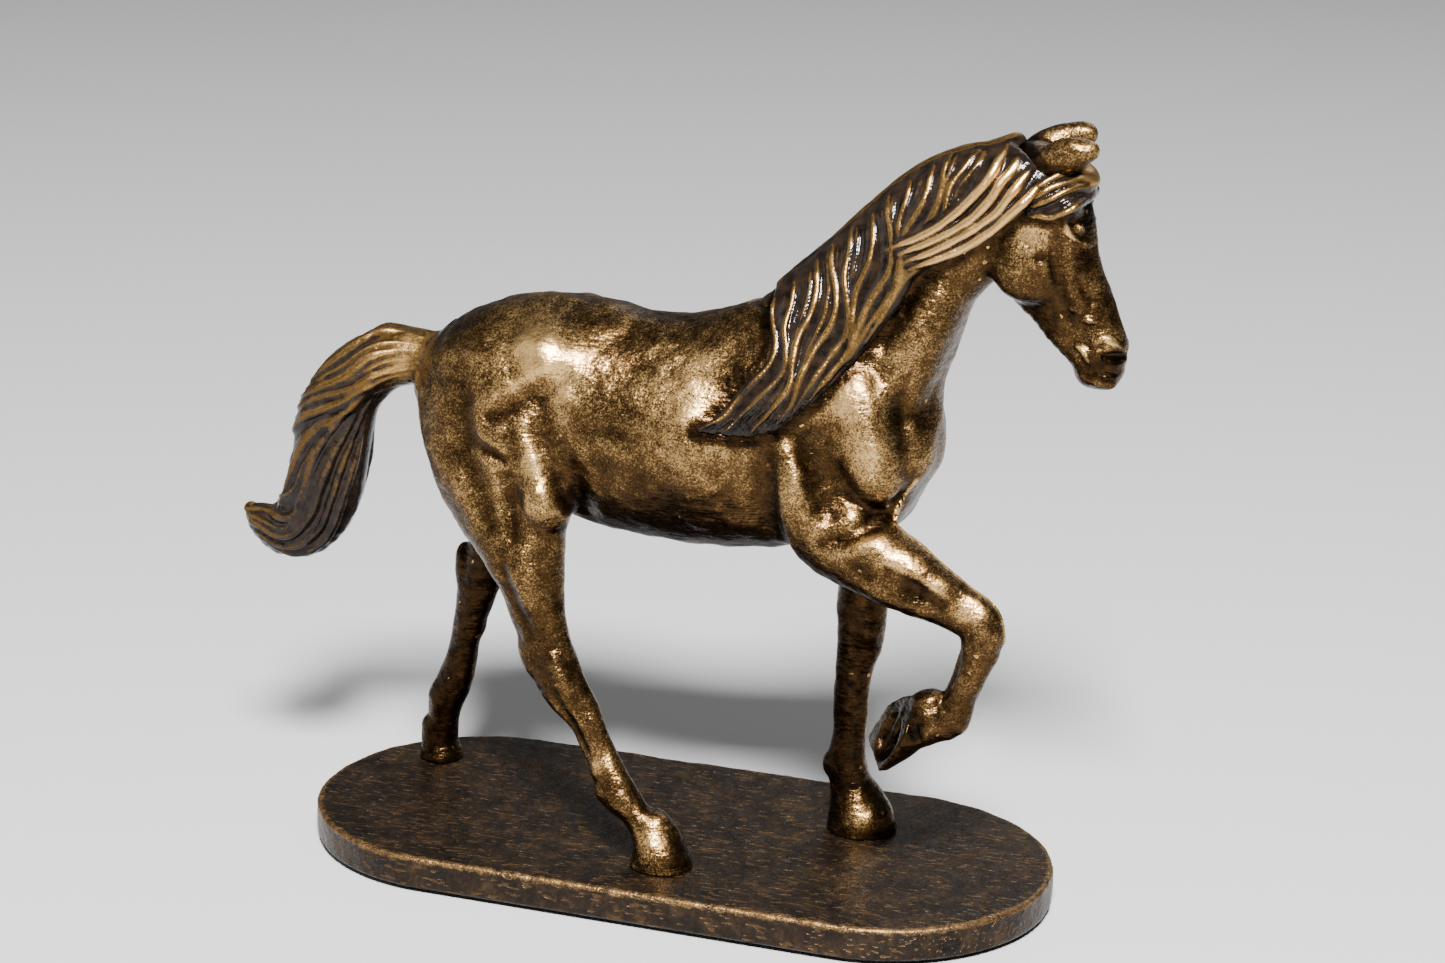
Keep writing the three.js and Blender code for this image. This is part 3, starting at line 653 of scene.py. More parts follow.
MIRRORED_CREASES = [
    # behind the elbow
    ([(11.3, 51.0), (11.2, 48.0), (11.3, 44.0), (11.7, 40.6), (12.8, 38.8)], 1.0, 0.65, 1.4),
    ([(15.4, 50.4), (16.6, 47.4), (17.6, 44.0), (18.8, 41.8)], 1.4, 0.7, 2.0),  # in front of the triceps
    ([(17.4, 40.4), (19.8, 41.4), (22.2, 42.6), (24.0, 44.4)], 0.9, 0.65, 1.2),  # under the shoulder
    ([(-17.6, 49.6), (-14.8, 51.2), (-12.2, 52.8), (-10.0, 54.4)], 1.0, 0.6, 1.4),  # under the hip
    ([(-12.4, 51.4), (-12.0, 48.6), (-10.9, 45.6), (-9.5, 42.4), (-8.6, 39.6)], 1.3, 0.75, 1.6),  # flank
    ([(-19.4, 47.0), (-17.6, 46.0), (-16.0, 45.4)], 0.6, 0.5, 0.7),  # dimple on the thigh
    ([(-20.6, 52.0), (-20.2, 47.0), (-18.6, 42.0), (-17.0, 38.6)], 1.0, 0.25, 1.6),  # behind the thigh
    ([(-15.6, 43.4), (-15.0, 41.0), (-14.6, 37.6)], 0.9, 0.5, 1.2),  # hollow behind the stifle
    ([(21.6, 60.4), (23.4, 64.4), (26.2, 67.4)], 1.0, 0.4, 1.6),  # along the windpipe
    ([(24.4, 56.6), (23.9, 54.0), (24.3, 51.2)], 0.9, 0.45, 1.2),  # between neck and breast
]
RIGHT_CREASES = [
    ([(24.4, 38.4), (27.2, 36.9), (29.6, 35.5)], 0.8, 0.5, 0.9),  # between the forearm's two ridges
    ([(-15.6, 34.0), (-14.2, 30.4), (-12.8, 27.0)], 0.7, 0.4, 0.9),  # between gaskin and hamstring
    ([(-10.0, 21.4), (-7.9, 17.8), (-6.2, 14.8)], 0.5, 0.3, 0.6),  # between cannon and tendon
    ([(31.4, 30.4), (30.9, 27.8), (30.3, 25.6)], 0.5, 0.3, 0.6),  # the same on the raised leg
]

# ---- The head's features, on the right side: each is mirrored ------------------------------------

HEAD_MUSCLES = [
    ((34.2, -1.6, 73.0), (36.2, -1.8, 64.9), 4.1, 2.3, 0.7),  # cheek
    ((36.4, -2.6, 75.4), (40.2, -2.2, 74.6), 1.2, 1.5, 0.7),  # brow
    ((38.3, -2.2, 69.6), (40.8, -1.9, 64.6), 0.7, 0.8, 0.6),  # facial crest
    ((39.3, -2.2, 65.1), (40.5, -2.2, 64.8), 0.45, 0.6, 0.3),  # small folds above the muzzle
    ((40.6, -2.0, 64.0), (42.2, -1.9, 63.8), 0.4, 0.65, 0.3),
    ((40.4, -0.8, 58.4), (44.2, -0.8, 57.4), 0.9, 1.5, 0.4),  # lower lip
]
HEAD_CUTS = [
    ((38.0, -3.4, 72.2), (38.5, -3.2, 67.6), 0.55, 0.35, 0.9),  # between cheek and face
    ((36.2, -4.3, 70.2), (37.3, -4.1, 69.6), 0.6, 0.6, 0.4),  # dimple on the cheek
    ((40.0, -3.5, 69.9), (41.4, -2.9, 68.8), 0.5, 0.6, 0.5),  # hollow under the eye
]
EYE = ((39.9, -2.15, 72.8), (0.75, 0.55, 0.65))
# On both sides of the head: ridges and cuts, each with its lift off the skin and its radii along the path
HEAD_RIDGES = [
    ([(38.8, 74.4), (38.9, 73.1), (39.5, 72.0), (40.6, 71.3)], 0.0, (0.25, 0.38, 0.45, 0.25)),  # lower lid
    ([(42.2, 61.7), (42.9, 62.2), (43.7, 61.8), (44.5, 61.3)], 0.0, (0.3, 0.45, 0.4, 0.2)),  # nostril's wing
    ([(40.4, 61.2), (41.1, 60.8), (41.6, 59.9)], 0.05, (0.3, 0.42, 0.3)),  # corner of the mouth
]
HEAD_GROOVES = [
    ([(43.1, 60.6), (44.1, 60.5), (44.9, 60.3)], 0.1, (0.3, 0.5, 0.35)),  # nostril
    ([(41.8, 59.3), (42.8, 58.8), (44.4, 58.6)], 0.05, (0.1, 0.17, 0.14)),  # mouth
]

# ---- Hooves --------------------------------------------------------------------------------------

HOOF_BOX = 6.0  # how far round a hoof its sole is cut flat
# Right hind, left hind and left fore: the hoof's centre, its reach at the ground and its height
STANDING_HOOVES = [((1.6, -10.3), 3.3, 4.0), ((-31.1, 8.7), 2.4, 3.6), ((17.9, 6.7), 3.8, 4.4)]


def standing_hoof(clay, centre, reach, height):
    """A hoof flat on the plinth: a wall that flares to the ground."""
    x, y = centre
    ground = DRAWN_GROUND
    wall = [
        [x - 0.25 * reach, y, ground + height, 0.62 * reach, 0.62 * reach, 0.62 * reach],
        [x - 0.1 * reach, y, ground + 0.55 * height, 0.82 * reach, 0.78 * reach, 0.8 * reach],
        [x, y, ground + 0.1 * height, reach, 0.92 * reach, 0.93 * reach],
        [x, y, ground - 0.5 * height, 1.1 * reach, reach, reach],
    ]
    clay.add(Sweep(wall, 0.6), 0.5)
    low = np.array([x - HOOF_BOX, y - HOOF_BOX, ground - HOOF_BOX])
    high = np.array([x + HOOF_BOX, y + HOOF_BOX, ground + HOOF_BOX])
    clay.cut_beyond((x, y, ground), (0, 0, -1), (low, high))


RAISED_HOOF = [
    [28.6, -6.4, 22.7, 2.1, 2.1, 2.0],
    [26.2, -6.4, 21.7, 2.7, 2.8, 2.7],
    [23.6, -6.4, 20.3, 3.5, 3.7, 3.2],
    [21.2, -6.4, 19.0, 4.0, 4.2, 3.4],
]
RAISED_SOLE = ((24.5, -6.6, 20.6), (-0.78, -0.5, 0.38))
HEEL_NOTCH = [(27.3, -8.5, 24.9), (27.5, -9.0, 22.6), (28.2, -8.7, 20.2)]  # between hoof and pastern
RAISED_TOE = ((23.2, -6.4, 17.2), (-0.5, 0, -0.87))
SOLE_HOLLOW = (2.6, 2.2, 1.2)  # its reach along, across and into the hoof


def raised_hoof(clay):
    """The lifted hoof, with its sole hollowed round the frog."""
    clay.add(Sweep(RAISED_HOOF, 0.6), 0.3)
    point, normal = (np.array(v, float) for v in RAISED_SOLE)
    clay.cut_beyond(point, normal, (point - HOOF_BOX, point + HOOF_BOX))
    toe, forwards = (np.array(v, float) for v in RAISED_TOE)
    clay.cut_beyond(toe, forwards, (point - HOOF_BOX, point + HOOF_BOX))
    outward = unit(normal)
    down = unit(np.cross((0, 1, 0), outward))
    down = down if down[2] < 0 else -down  # along the sole, from heel to toe
    hollow = point + 0.5 * down
    turned = np.array([down, np.cross(outward, down), outward])
    clay.cut(Blob(hollow, SOLE_HOLLOW, turned), 0.3)
    clay.cut(Sweep(tube(HEEL_NOTCH, (0.5, 0.75, 0.5)), 0.4), 0.3)
    frog = muscle(point - 3.2 * down - 0.3 * outward, point + 1.2 * down - 0.8 * outward, 0.6, 0.7)
    clay.add(frog, 0.3)


# ---- The whole horse -----------------------------------------------------------------------------


def both_sides(rows):
    """Rows of muscles or creases for the right side, each followed by its mirror image."""
    for row in rows:
        yield row
        start, end, *sizes = row
        yield (mirrored(start), mirrored(end), *sizes)


def add_muscles(clay, rows):
    for start, end, width, depth, soft in rows:
        clay.add(muscle(start, end, width, depth), soft)


def add_masses(clay):
    """The horse without hair or creases."""
    clay.add(Sweep(TORSO))
    clay.add(Sweep(NECK), 3.0)
    clay.add(Sweep(HEAD), 1.2)
    for limb in (RIGHT_HIND, LEFT_HIND, LEFT_FORE, RIGHT_FORE):
        clay.add(Sweep(limb, 0.9), 1.6)
    clay.add(Sweep(TAIL_CORE), 1.0)
    add_muscles(clay, both_sides(MIRRORED_MUSCLES))
    add_muscles(clay, RIGHT_MUSCLES + LEFT_MUSCLES)
    add_muscles(clay, both_sides(HEAD_MUSCLES))


ROUGH_VOXEL = 0.6
rough = Clay.empty(to_drawn(cad_box[0]) - 2, to_drawn(cad_box[1]) + 2, ROUGH_VOXEL)
add_masses(rough)


def on_skin(points, side, lift, clay=rough):
    """Points in the side view, brought onto the body's skin on one side of it."""
    outside = np.array([(x, side * 12.0, z) for x, z in points])
    steps = np.linspace(0, 1, 121)
    for i, (x, y, z) in enumerate(outside):
        line = np.array([(x, y * (1 - t), z) for t in steps])
        within = np.flatnonzero(clay.sample(line) < 0)
        outside[i] = line[within[0]] if len(within) else line[-1]
    return clay.settle(outside, lift)


def add_creases(clay):
    for side, creases in ((-1, MIRRORED_CREASES + RIGHT_CREASES), (1, MIRRORED_CREASES)):
        for points, radius, depth, soft in creases:
            path = on_skin(points, side, radius - depth)
            taper = radius * np.interp(np.linspace(0, 1, len(path)), (0, 0.3, 0.7, 1), (0.5, 1, 1, 0.5))
            clay.cut(Sweep(tube(path, taper)), soft)


# Thin ridges left where the mould's halves met, down the breast and along the top of the raised leg
MOULD_LINES = [
    [(25.3, -4.0, 46.4), (24.6, -4.4, 44.2), (24.0, -4.8, 42.4)],
    [
        (24.2, -5.8, 42.6),
        (26.7, -6.3, 40.6),
        (29.8, -6.4, 38.6),
        (33.2, -6.4, 36.6),
        (35.3, -6.4, 34.2),
        (35.6, -6.4, 31.6),
    ],
]
MOULD_LINE_RADIUS = 0.17
mould_lines = [rough.settle(smooth_path(line, 0.8), 0.05) for line in MOULD_LINES]


def add_mould_lines(clay):
    for line in mould_lines:
        clay.add(Sweep(tube(line, MOULD_LINE_RADIUS), 0.4), 0.1)


def add_head_features(clay):
    for start, end, width, depth, soft in both_sides(HEAD_CUTS):
        clay.cut(muscle(start, end, width, depth), soft)
    for side in (-1, 1):
        clay.add(Blob(np.array(EYE[0]) * (1, -side, 1), EYE[1]), 0.3)
        for path, lift, radii in HEAD_RIDGES:
            clay.add(Sweep(tube(on_skin(path, side, lift), radii), 0.4), 0.25)
        for path, lift, radii in HEAD_GROOVES:
            clay.cut(Sweep(tube(on_skin(path, side, lift), radii), 0.4), 0.15)


def add_ears(clay):
    for side, shift in ((-1, np.zeros(3)), (1, np.array(LEFT_EAR_SHIFT))):
        ear = np.array(EAR)
        ear[:, :3] = ear[:, :3] * (1, -side, 1) + shift
        clay.add(Sweep(ear, 0.5), 0.5)


def build_body(box, voxel):
    clay = Clay.empty(*box, voxel * COARSE)
    add_masses(clay)
    add_creases(clay)
    add_mould_lines(clay)
    add_head_features(clay)
    add_ears(clay)
    for centre, reach, height in STANDING_HOOVES:
        standing_hoof(clay, centre, reach, height)
    raised_hoof(clay)
    return clay


# ---- Hair ----------------------------------------------------------------------------------------


TAU = 2 * np.pi
RAIL_STRAND_POINTS = 8  # points in a strand drawn between rails
SWAY_TURNS = 1.6  # how many times a strand sways from side to side
SWAY_SHIFT = 2.1  # radians by which each strand's sway is shifted from the last
SWAY_WAY = np.array((1.0, 0.3))


def along(rail, share):
    """The point a share of the way along a curve through a few points."""
    curve = smooth_path([(x, 0.0, z) for x, z in rail], 0.1)
    return np.asarray(curve)[int(round(share * (len(curve) - 1)))][[0, 2]]


def strands_between(roots, bellies, tips, count, sway=0.0):
    """Strands from one rail to another, each drawn towards a third between them and swaying a little."""
    steps = np.linspace(0, 1, RAIL_STRAND_POINTS)[:, None]
    strands = []
    for index in range(count):
        share = index / (count - 1)
        root, belly, tip = along(roots, share), along(bellies, share), along(tips, share)
        line = root * (1 - steps) ** 2 + belly * 2 * steps * (1 - steps) + tip * steps**2
        wave = sway * np.sin(np.pi * steps) * np.sin(SWAY_TURNS * TAU * steps + SWAY_SHIFT * index)
        strands.append([tuple(point) for point in line + wave * SWAY_WAY])
    return strands


# The mane hangs from the crest, falls forward over the neck and sweeps back to a point over the shoulder
MANE_GUIDES = strands_between(
    [(33, 80), (26, 78.5), (19, 73), (10.5, 64)],
    [(29.5, 73), (26, 73.5), (23.5, 66), (13, 55)],
    [(23.5, 66.5), (20, 60), (12, 51.5), (5, 51)],
    12,
    0.8,
)
# The lock from the poll that lies over the others, from its top edge to its bottom edge
POLL_LOCK = strands_between(
    [(33, 80), (36.5, 77.5)],
    [(31.5, 74), (34.5, 73)],
    [(21.5, 69), (23.5, 67.5)],
    4,
    0.2,
)
# Strands from the forehead that sweep back under the ear
FORELOCK_GUIDES = strands_between(
    [(40.3, 78.4), (40.2, 75.5)],
    [(38, 78), (38, 74.3)],
    [(35.4, 76.2), (35.2, 74)],
    4,
)
# Strands of the tail, from its outer edge to its inner edge
TAIL_GUIDES = [
    [(-28.6, 54.6), (-31.6, 54.9), (-34.4, 54.2), (-37.0, 52.3), (-39.4, 50.4), (-41.2, 48.6)],
    [(-28.6, 53.4), (-31.2, 53.2), (-34.0, 52.2), (-36.8, 49.9), (-39.4, 48.5), (-42.6, 46.6)],
    [(-28.8, 52.2), (-31.0, 51.6), (-33.8, 50.2), (-36.4, 48.6), (-39.4, 47.4), (-43.4, 45.2)],
    [(-29.0, 50.8), (-32.0, 50.2), (-34.8, 48.9), (-36.8, 47.4), (-39.2, 46.2), (-41.8, 44.8), (-43.7, 42.6)],
    [(-29.4, 49.9), (-32.6, 49.4), (-35.0, 48.0), (-36.8, 46.2), (-38.8, 44.6), (-41.4, 42.2), (-43.2, 38.6),
     (-44.9, 34.9)],
    [(-30.6, 49.4), (-33.8, 48.7), (-35.9, 47.0), (-37.8, 44.8), (-40.2, 41.0), (-41.6, 36.6), (-43.4, 33.6),
     (-49.6, 33.3)],
    [(-32.4, 49.0), (-34.8, 47.4), (-36.4, 44.8), (-38.0, 41.8), (-39.6, 37.8), (-41.0, 34.2), (-44.2, 31.4),
     (-48.8, 32.2)],
    [(-33.8, 48.3), (-34.9, 46.0), (-35.9, 42.4), (-36.9, 38.6), (-38.2, 34.6), (-40.0, 31.2), (-43.4, 29.4),
     (-47.4, 30.6)],
]
GUIDE_POINTS = 26  # points along a strand
WAVER = 0.12  # how far a strand strays from an even fan

randoms = np.random.default_rng(7)


def evenly(guide, count=GUIDE_POINTS):
    """Points at even steps along a guide."""
    path = smooth_path(guide, 0.3)
    travelled = np.concatenate([[0], np.cumsum(np.linalg.norm(np.diff(path, axis=0), axis=1))])
    wanted = np.linspace(0, travelled[-1], count)
    return np.stack([np.interp(wanted, travelled, column) for column in path.T], axis=1)


def fan(guides, between):
    """Each guide, with strands between it and the next: pairs of points and whether it is a guide."""
    rows = [evenly(guide) for guide in guides]
    for row, following in zip(rows, rows[1:]):
        yield row, True
        for i in range(between):
            share = (i + 1 + randoms.uniform(-0.2, 0.2)) / (between + 1)
            waver = WAVER * np.sin(np.linspace(0, 9, GUIDE_POINTS) + randoms.uniform(0, 6))[:, None]
            yield row * (1 - share) + following * share + waver * (1, 0.6), False
    yield rows[-1], True


def strand_radii(thick, root, tip, count=GUIDE_POINTS):
    """A strand's radius along it: a share of it at the root, all of it soon after, and a share at the tip."""
    return thick * np.interp(np.linspace(0, 1, count), (0, 0.12, 0.7, 1), (root, 1, 0.95, tip))


STRAND_HALO = 0.9
SETTLE = ((0, 0.18, 0.85, 1), (0.3, 1, 1, 0.6))  # places along a strand, and its share of its lift
POLL_RISE = ((26.0, -0.6, 77.2), (36.4, -0.8, 77.6), 2.2, 2.4)
CREST_ROLL = ((0, 7, 11), (0.95, 0.9, 0.4))  # guides counted from the poll, and the roll's radius there
CREST_CROSSING = np.array((0.2, 1.6))  # from a strand's root on the crest to its end on the far side


def lay(clay, path, lift, radii, soft, side=-1, skin=rough):
    """Lays a strand on the skin, from a path in the side view, its ends pressed down."""
    lift = lift * np.interp(np.linspace(0, 1, len(path)), *SETTLE)
    clay.add(Sweep(tube(on_skin(path, side, lift, skin), radii), 0.5, STRAND_HALO), soft)


def add_mane(clay):
    clay.add(muscle(*POLL_RISE), 0.8)
    crest = on_skin([guide[0] for guide in MANE_GUIDES], -1, 0.3)
    clay.add(Sweep(tube(crest, np.interp(np.arange(len(crest)), *CREST_ROLL)), 0.5), 0.6)
    for path, is_guide in fan(MANE_GUIDES, 2):
        lay(clay, path, 0.05, strand_radii(0.75, 0.9, 0.4), 0.6)
        root = on_skin([path[0] - CREST_CROSSING], 1, 0.1)
        lift = 0.9 if is_guide else randoms.uniform(0.6, 0.92)
        rising = np.interp(np.arange(len(path)), (0, 3), (0.4, 1))
        points = np.vstack([root, on_skin(path, -1, lift * rising)])
        thick = randoms.uniform(0.28, 0.36) if is_guide else randoms.uniform(0.18, 0.26)
        radii = strand_radii(thick, 0.6, 0.45, len(points))
        clay.add(Sweep(tube(points, radii), 0.4, STRAND_HALO), 0.12)
    for path, is_guide in fan(POLL_LOCK, 1):
        lay(clay, path, 0.4, strand_radii(0.72, 0.7, 0.5), 0.5)
        lift, thick = (1.35, 0.52) if is_guide else (0.95, 0.26)
        lay(clay, path, lift, strand_radii(thick, 0.6, 0.35), 0.1)


def add_forelock(clay):
    for side in (-1, 1):
        for path, is_guide in fan(FORELOCK_GUIDES, 1):
            lay(clay, path, 0.2, strand_radii(0.62, 0.8, 0.4), 0.5, side)
            lift, thick = (1.0, 0.34) if is_guide else (0.75, 0.2)
            lay(clay, path, lift, strand_radii(thick, 0.6, 0.3), 0.1, side)
    clay.add(muscle((38.2, 0, 79.0), (41.2, 0, 76.8), 0.8, 2.0), 0.8)


# Places along a strand of the tail, and its share of its radius
TAIL_TAPER = ((0, 0.15, 0.32, 0.8, 1), (0, 0.1, 1, 0.95, 0.4))


def add_tail_strands(clay):
    taper = np.interp(np.linspace(0, 1, GUIDE_POINTS), *TAIL_TAPER)
    for side in (-1, 1):
        for path, is_guide in fan(TAIL_GUIDES, 1):
            thick = randoms.uniform(0.5, 0.62) if is_guide else randoms.uniform(0.28, 0.4)
            lay(clay, path, -0.05 if is_guide else 0.0, thick * taper + 0.05, 0.2, side)


# ---- Materials -----------------------------------------------------------------------------------

MM = METRES_PER_MM


class Shader:
    """A material's nodes."""

    def __init__(self, name):
        self.material = bpy.data.materials.new(name)
        self.material.use_nodes = True
        self.tree = self.material.node_tree
        self.surface = self.tree.nodes["Principled BSDF"]
        self.place = self.add("ShaderNodeTexCoord").outputs["Object"]

    def add(self, kind, **settings):
        node = self.tree.nodes.new(kind)
        for key, value in settings.items():
            setattr(node, key, value)
        return node

    def join(self, output, socket):
        self.tree.links.new(output, socket)

    def noise(self, size, detail=2.0, roughness=0.5, stretch=None):
        """Soft random values with features of a size in millimetres, stretched along each axis if wanted."""
        node = self.add("ShaderNodeTexNoise")
        node.inputs["Scale"].default_value = 1 / (size * MM)
        node.inputs["Detail"].default_value = detail
        node.inputs["Roughness"].default_value = roughness
        place = self.place
        if stretch:
            squeezed = self.add("ShaderNodeVectorMath", operation="DIVIDE")
            self.join(place, squeezed.inputs[0])
            squeezed.inputs[1].default_value = stretch
            place = squeezed.outputs[0]
        self.join(place, node.inputs["Vector"])
        return node.outputs["Fac"]

    def cells(self, size):
        """A random colour for each of many small cells of a size in millimetres."""
        node = self.add("ShaderNodeTexVoronoi")
        node.inputs["Scale"].default_value = 1 / (size * MM)
        self.join(self.place, node.inputs["Vector"])
        return node.outputs["Color"]

    def attribute(self, name):
        return self.add("ShaderNodeAttribute", attribute_name=name).outputs["Fac"]

    def ramp(self, value, stops):
        """Greys or colours at places between 0 and 1."""
        node = self.add("ShaderNodeValToRGB")
        elements = node.color_ramp.elements
        while len(elements) < len(stops):
            elements.new(0.5)
        for element, (position, colour) in zip(elements, stops):
            element.position = position
            grey = not isinstance(colour, tuple)
            element.color = (colour, colour, colour, 1) if grey else (*colour, 1)
        self.join(value, node.inputs["Fac"])
        return node.outputs["Color"]

    def sum(self, start, *terms):
        """A number plus outputs, each times a number."""
        total = None
        for value, times in terms:
            node = self.add("ShaderNodeMath", operation="MULTIPLY_ADD")
            self.join(value, node.inputs[0])
            node.inputs[1].default_value = times
            if total is None:
                node.inputs[2].default_value = start
            else:
                self.join(total, node.inputs[2])
            total = node.outputs[0]
        return total

    def blend(self, share, first, second):
        """One colour turning into another as share goes from 0 to 1; each is an output or a colour."""
        node = self.add("ShaderNodeMix", data_type="RGBA")
        self.join(share, node.inputs["Factor"])
        for colour, socket in ((first, node.inputs[6]), (second, node.inputs[7])):
            if isinstance(colour, tuple):
                socket.default_value = (*colour, 1)
            else:
                self.join(colour, socket)
        return node.outputs[2]

    def bumps(self, height, rise):
        """Small relief, rising by a distance in millimetres."""
        node = self.add("ShaderNodeBump")
        node.inputs["Distance"].default_value = rise * MM
        self.join(height, node.inputs["Height"])
        return node.outputs["Normal"]

    def tilt_flakes(self, normal, flakes, amount):
        """Turns each flake a little its own way."""
        centred = self.add("ShaderNodeVectorMath", operation="SUBTRACT")
        self.join(flakes, centred.inputs[0])
        centred.inputs[1].default_value = (0.5, 0.5, 0.5)
        scaled = self.add("ShaderNodeVectorMath", operation="MULTIPLY_ADD")
        self.join(centred.outputs[0], scaled.inputs[0])
        scaled.inputs[1].default_value = (amount, amount, amount)
        self.join(normal, scaled.inputs[2])
        unit_length = self.add("ShaderNodeVectorMath", operation="NORMALIZE")
        self.join(scaled.outputs[0], unit_length.inputs[0])
        return unit_length.outputs[0]

    def finish(self, colour, normal, roughness=None, metallic=None):
        self.join(colour, self.surface.inputs["Base Color"])
        self.join(normal, self.surface.inputs["Normal"])
        for value, socket in ((roughness, "Roughness"), (metallic, "Metallic")):
            if value is None:
                continue
            if isinstance(value, float):
                self.surface.inputs[socket].default_value = value
            else:
                self.join(value, self.surface.inputs[socket])
        return self.material


FLAKE_SIZE = 0.13
SPECK_SIZE = 0.32
PLINTH_SPECK_SIZE = 0.3


def gilded_bronze():
    """Dark brown patina under rubbed gold flakes, thinnest in the hollows, with painted highlights and
    painted shade in how much gold shows.
    """
    shader = Shader("gilded_bronze")
    flakes = shader.cells(FLAKE_SIZE)
    specks = shader.cells(SPECK_SIZE)
    gold_and_painted_light = shader.sum(
        -0.53,
        (shader.attribute("gold_and_painted_light"), 1.25),
        (shader.noise(3.4, 4, 0.6), 0.42),
        (shader.noise(0.8, 3), 0.3),
        (flakes, 0.2),
    )
    share = shader.ramp(gold_and_painted_light, [(0.15, 0.0), (0.95, 1.0)])
    tone = shader.sum(0.0, (gold_and_painted_light, 0.75), (flakes, 0.35))
    gold = shader.ramp(
        tone,
        [(0.3, (0.02, 0.01, 0.0035)), (0.65, (0.095, 0.051, 0.017)), (1.0, (0.5, 0.31, 0.12))],
    )
    patina = shader.ramp(
        shader.noise(0.9, 3),
        [(0.3, (0.006, 0.004, 0.0025)), (0.7, (0.032, 0.016, 0.006))],
    )
    colour = shader.blend(share, patina, gold)
    sparks = shader.ramp(specks, [(0.94, 0.0), (0.97, 1.0)])
    colour = shader.blend(sparks, colour, (0.36, 0.2, 0.07))
    brushed = shader.noise(0.32, 2, 0.5, (5.0, 5.0, 1.0))
    relief = shader.sum(0.0, (shader.noise(0.5, 3), 0.8), (shader.noise(1.5, 2), 2.2), (brushed, 0.9))
    normal = shader.tilt_flakes(shader.bumps(relief, 0.07), flakes, 0.14)
    roughness = shader.ramp(gold_and_painted_light, [(0.2, 0.28), (0.9, 0.36)])
    return shader.finish(colour, normal, roughness, 1.0)


def gilded_hair():
    """Glossy black in the grooves, gold rubbed on the ridges, with painted shade and painted highlights in
    how much gold shows.
    """
    shader = Shader("gilded_hair")
    flakes = shader.cells(FLAKE_SIZE)
    gold_and_light_mask = shader.attribute("gold_and_painted_light")
    gold_and_painted_light = shader.sum(-0.3, (gold_and_light_mask, 1.0), (shader.noise(1.1, 3, 0.6), 0.5), (flakes, 0.1))
    share = shader.ramp(gold_and_painted_light, [(0.46, 0.0), (0.68, 1.0)])
    tone = shader.sum(-0.1, (gold_and_light_mask, 1.0), (flakes, 0.2))
    gold = shader.ramp(
        tone,
        [(0.4, (0.035, 0.018, 0.005)), (0.7, (0.11, 0.06, 0.017)), (1.0, (0.45, 0.27, 0.1))],
    )
    black = shader.ramp(
        shader.noise(1.2, 3),
        [(0.3, (0.0015, 0.0012, 0.001)), (0.8, (0.011, 0.0065, 0.004))],
    )
    colour = shader.blend(share, black, gold)
    relief = shader.sum(0.0, (shader.noise(0.3, 3), 1.0), (shader.noise(0.9, 2), 1.0))
    normal = shader.tilt_flakes(shader.bumps(relief, 0.03), flakes, 0.1)
    roughness = shader.ramp(share, [(0.0, 0.12), (1.0, 0.34)])
    shader.surface.inputs["Specular IOR Level"].default_value = 0.15
    return shader.finish(colour, normal, roughness, share)


def plinth_patina():
    """Mottled near-black and brown, with fine gold specks and a little gold on the top rim, partly rubbed and
    partly a painted highlight.
    """
    shader = Shader("plinth_patina")
    flakes = shader.cells(FLAKE_SIZE)
    specks = shader.cells(PLINTH_SPECK_SIZE)
    mottle = shader.sum(0.0, (shader.noise(2.6, 5, 0.65), 0.75), (shader.noise(0.5, 3), 0.3))
    ground = shader.ramp(
        mottle,
        [(0.36, (0.003, 0.0022, 0.0018)), (0.55, (0.014, 0.008, 0.004)), (0.75, (0.045, 0.025, 0.009))],
    )
    gold_and_painted_light = shader.sum(-0.9, (shader.attribute("gold_and_painted_light"), 1.6), (shader.noise(0.8, 4, 0.6), 0.6), (flakes, 0.2))
    share = shader.ramp(gold_and_painted_light, [(0.5, 0.0), (0.8, 1.0)])
    colour = shader.blend(share, ground, (0.17, 0.093, 0.03))
    sparks = shader.ramp(specks, [(0.93, 0.0), (0.97, 1.0)])
    colour = shader.blend(sparks, colour, (0.05, 0.027, 0.01))
    dashes = shader.ramp(shader.noise(0.35, 1, 0.5, (4.0, 1.0, 1.0)), [(0.6, 0.0), (0.66, 1.0)])
    colour = shader.blend(dashes, colour, (0.045, 0.024, 0.008))
    relief = shader.sum(0.0, (shader.noise(0.6, 4, 0.6), 1.0), (shader.noise(0.18, 2), 0.4), (dashes, -0.5))
    normal = shader.tilt_flakes(shader.bumps(relief, 0.08), flakes, 0.2)
    roughness = shader.ramp(mottle, [(0.3, 0.35), (0.9, 0.55)])
    return shader.finish(colour, normal, roughness, 0.8)


def turned_brass():
    """Plain brass with fine turning marks and a little tarnish."""
    shader = Shader("turned_brass")
    tarnish = shader.noise(1.5, 4, 0.6)
    colour = shader.ramp(tarnish, [(0.3, (0.62, 0.44, 0.18)), (0.75, (0.42, 0.28, 0.11))])
    marks = shader.noise(0.12, 2)
    roughness = shader.ramp(tarnish, [(0.3, 0.26), (0.8, 0.45)])
    return shader.finish(colour, shader.bumps(marks, 0.01), roughness, 1.0)


def wool_felt():
    """Dark green felt: matted fibres with paler ones on top."""
    shader = Shader("wool_felt")
    fibres = shader.noise(0.25, 6, 0.75)
    colour = shader.ramp(fibres, [(0.35, (0.012, 0.03, 0.018)), (0.7, (0.05, 0.09, 0.06))])
    shader.surface.inputs["Sheen Weight"].default_value = 0.4
    return shader.finish(colour, shader.bumps(fibres, 0.15), 0.95, 0.0)


bronze, hair_bronze, plinth_bronze = gilded_bronze(), gilded_hair(), plinth_patina()
brass, felt = turned_brass(), wool_felt()

# ---- Castings ------------------------------------------------------------------------------------

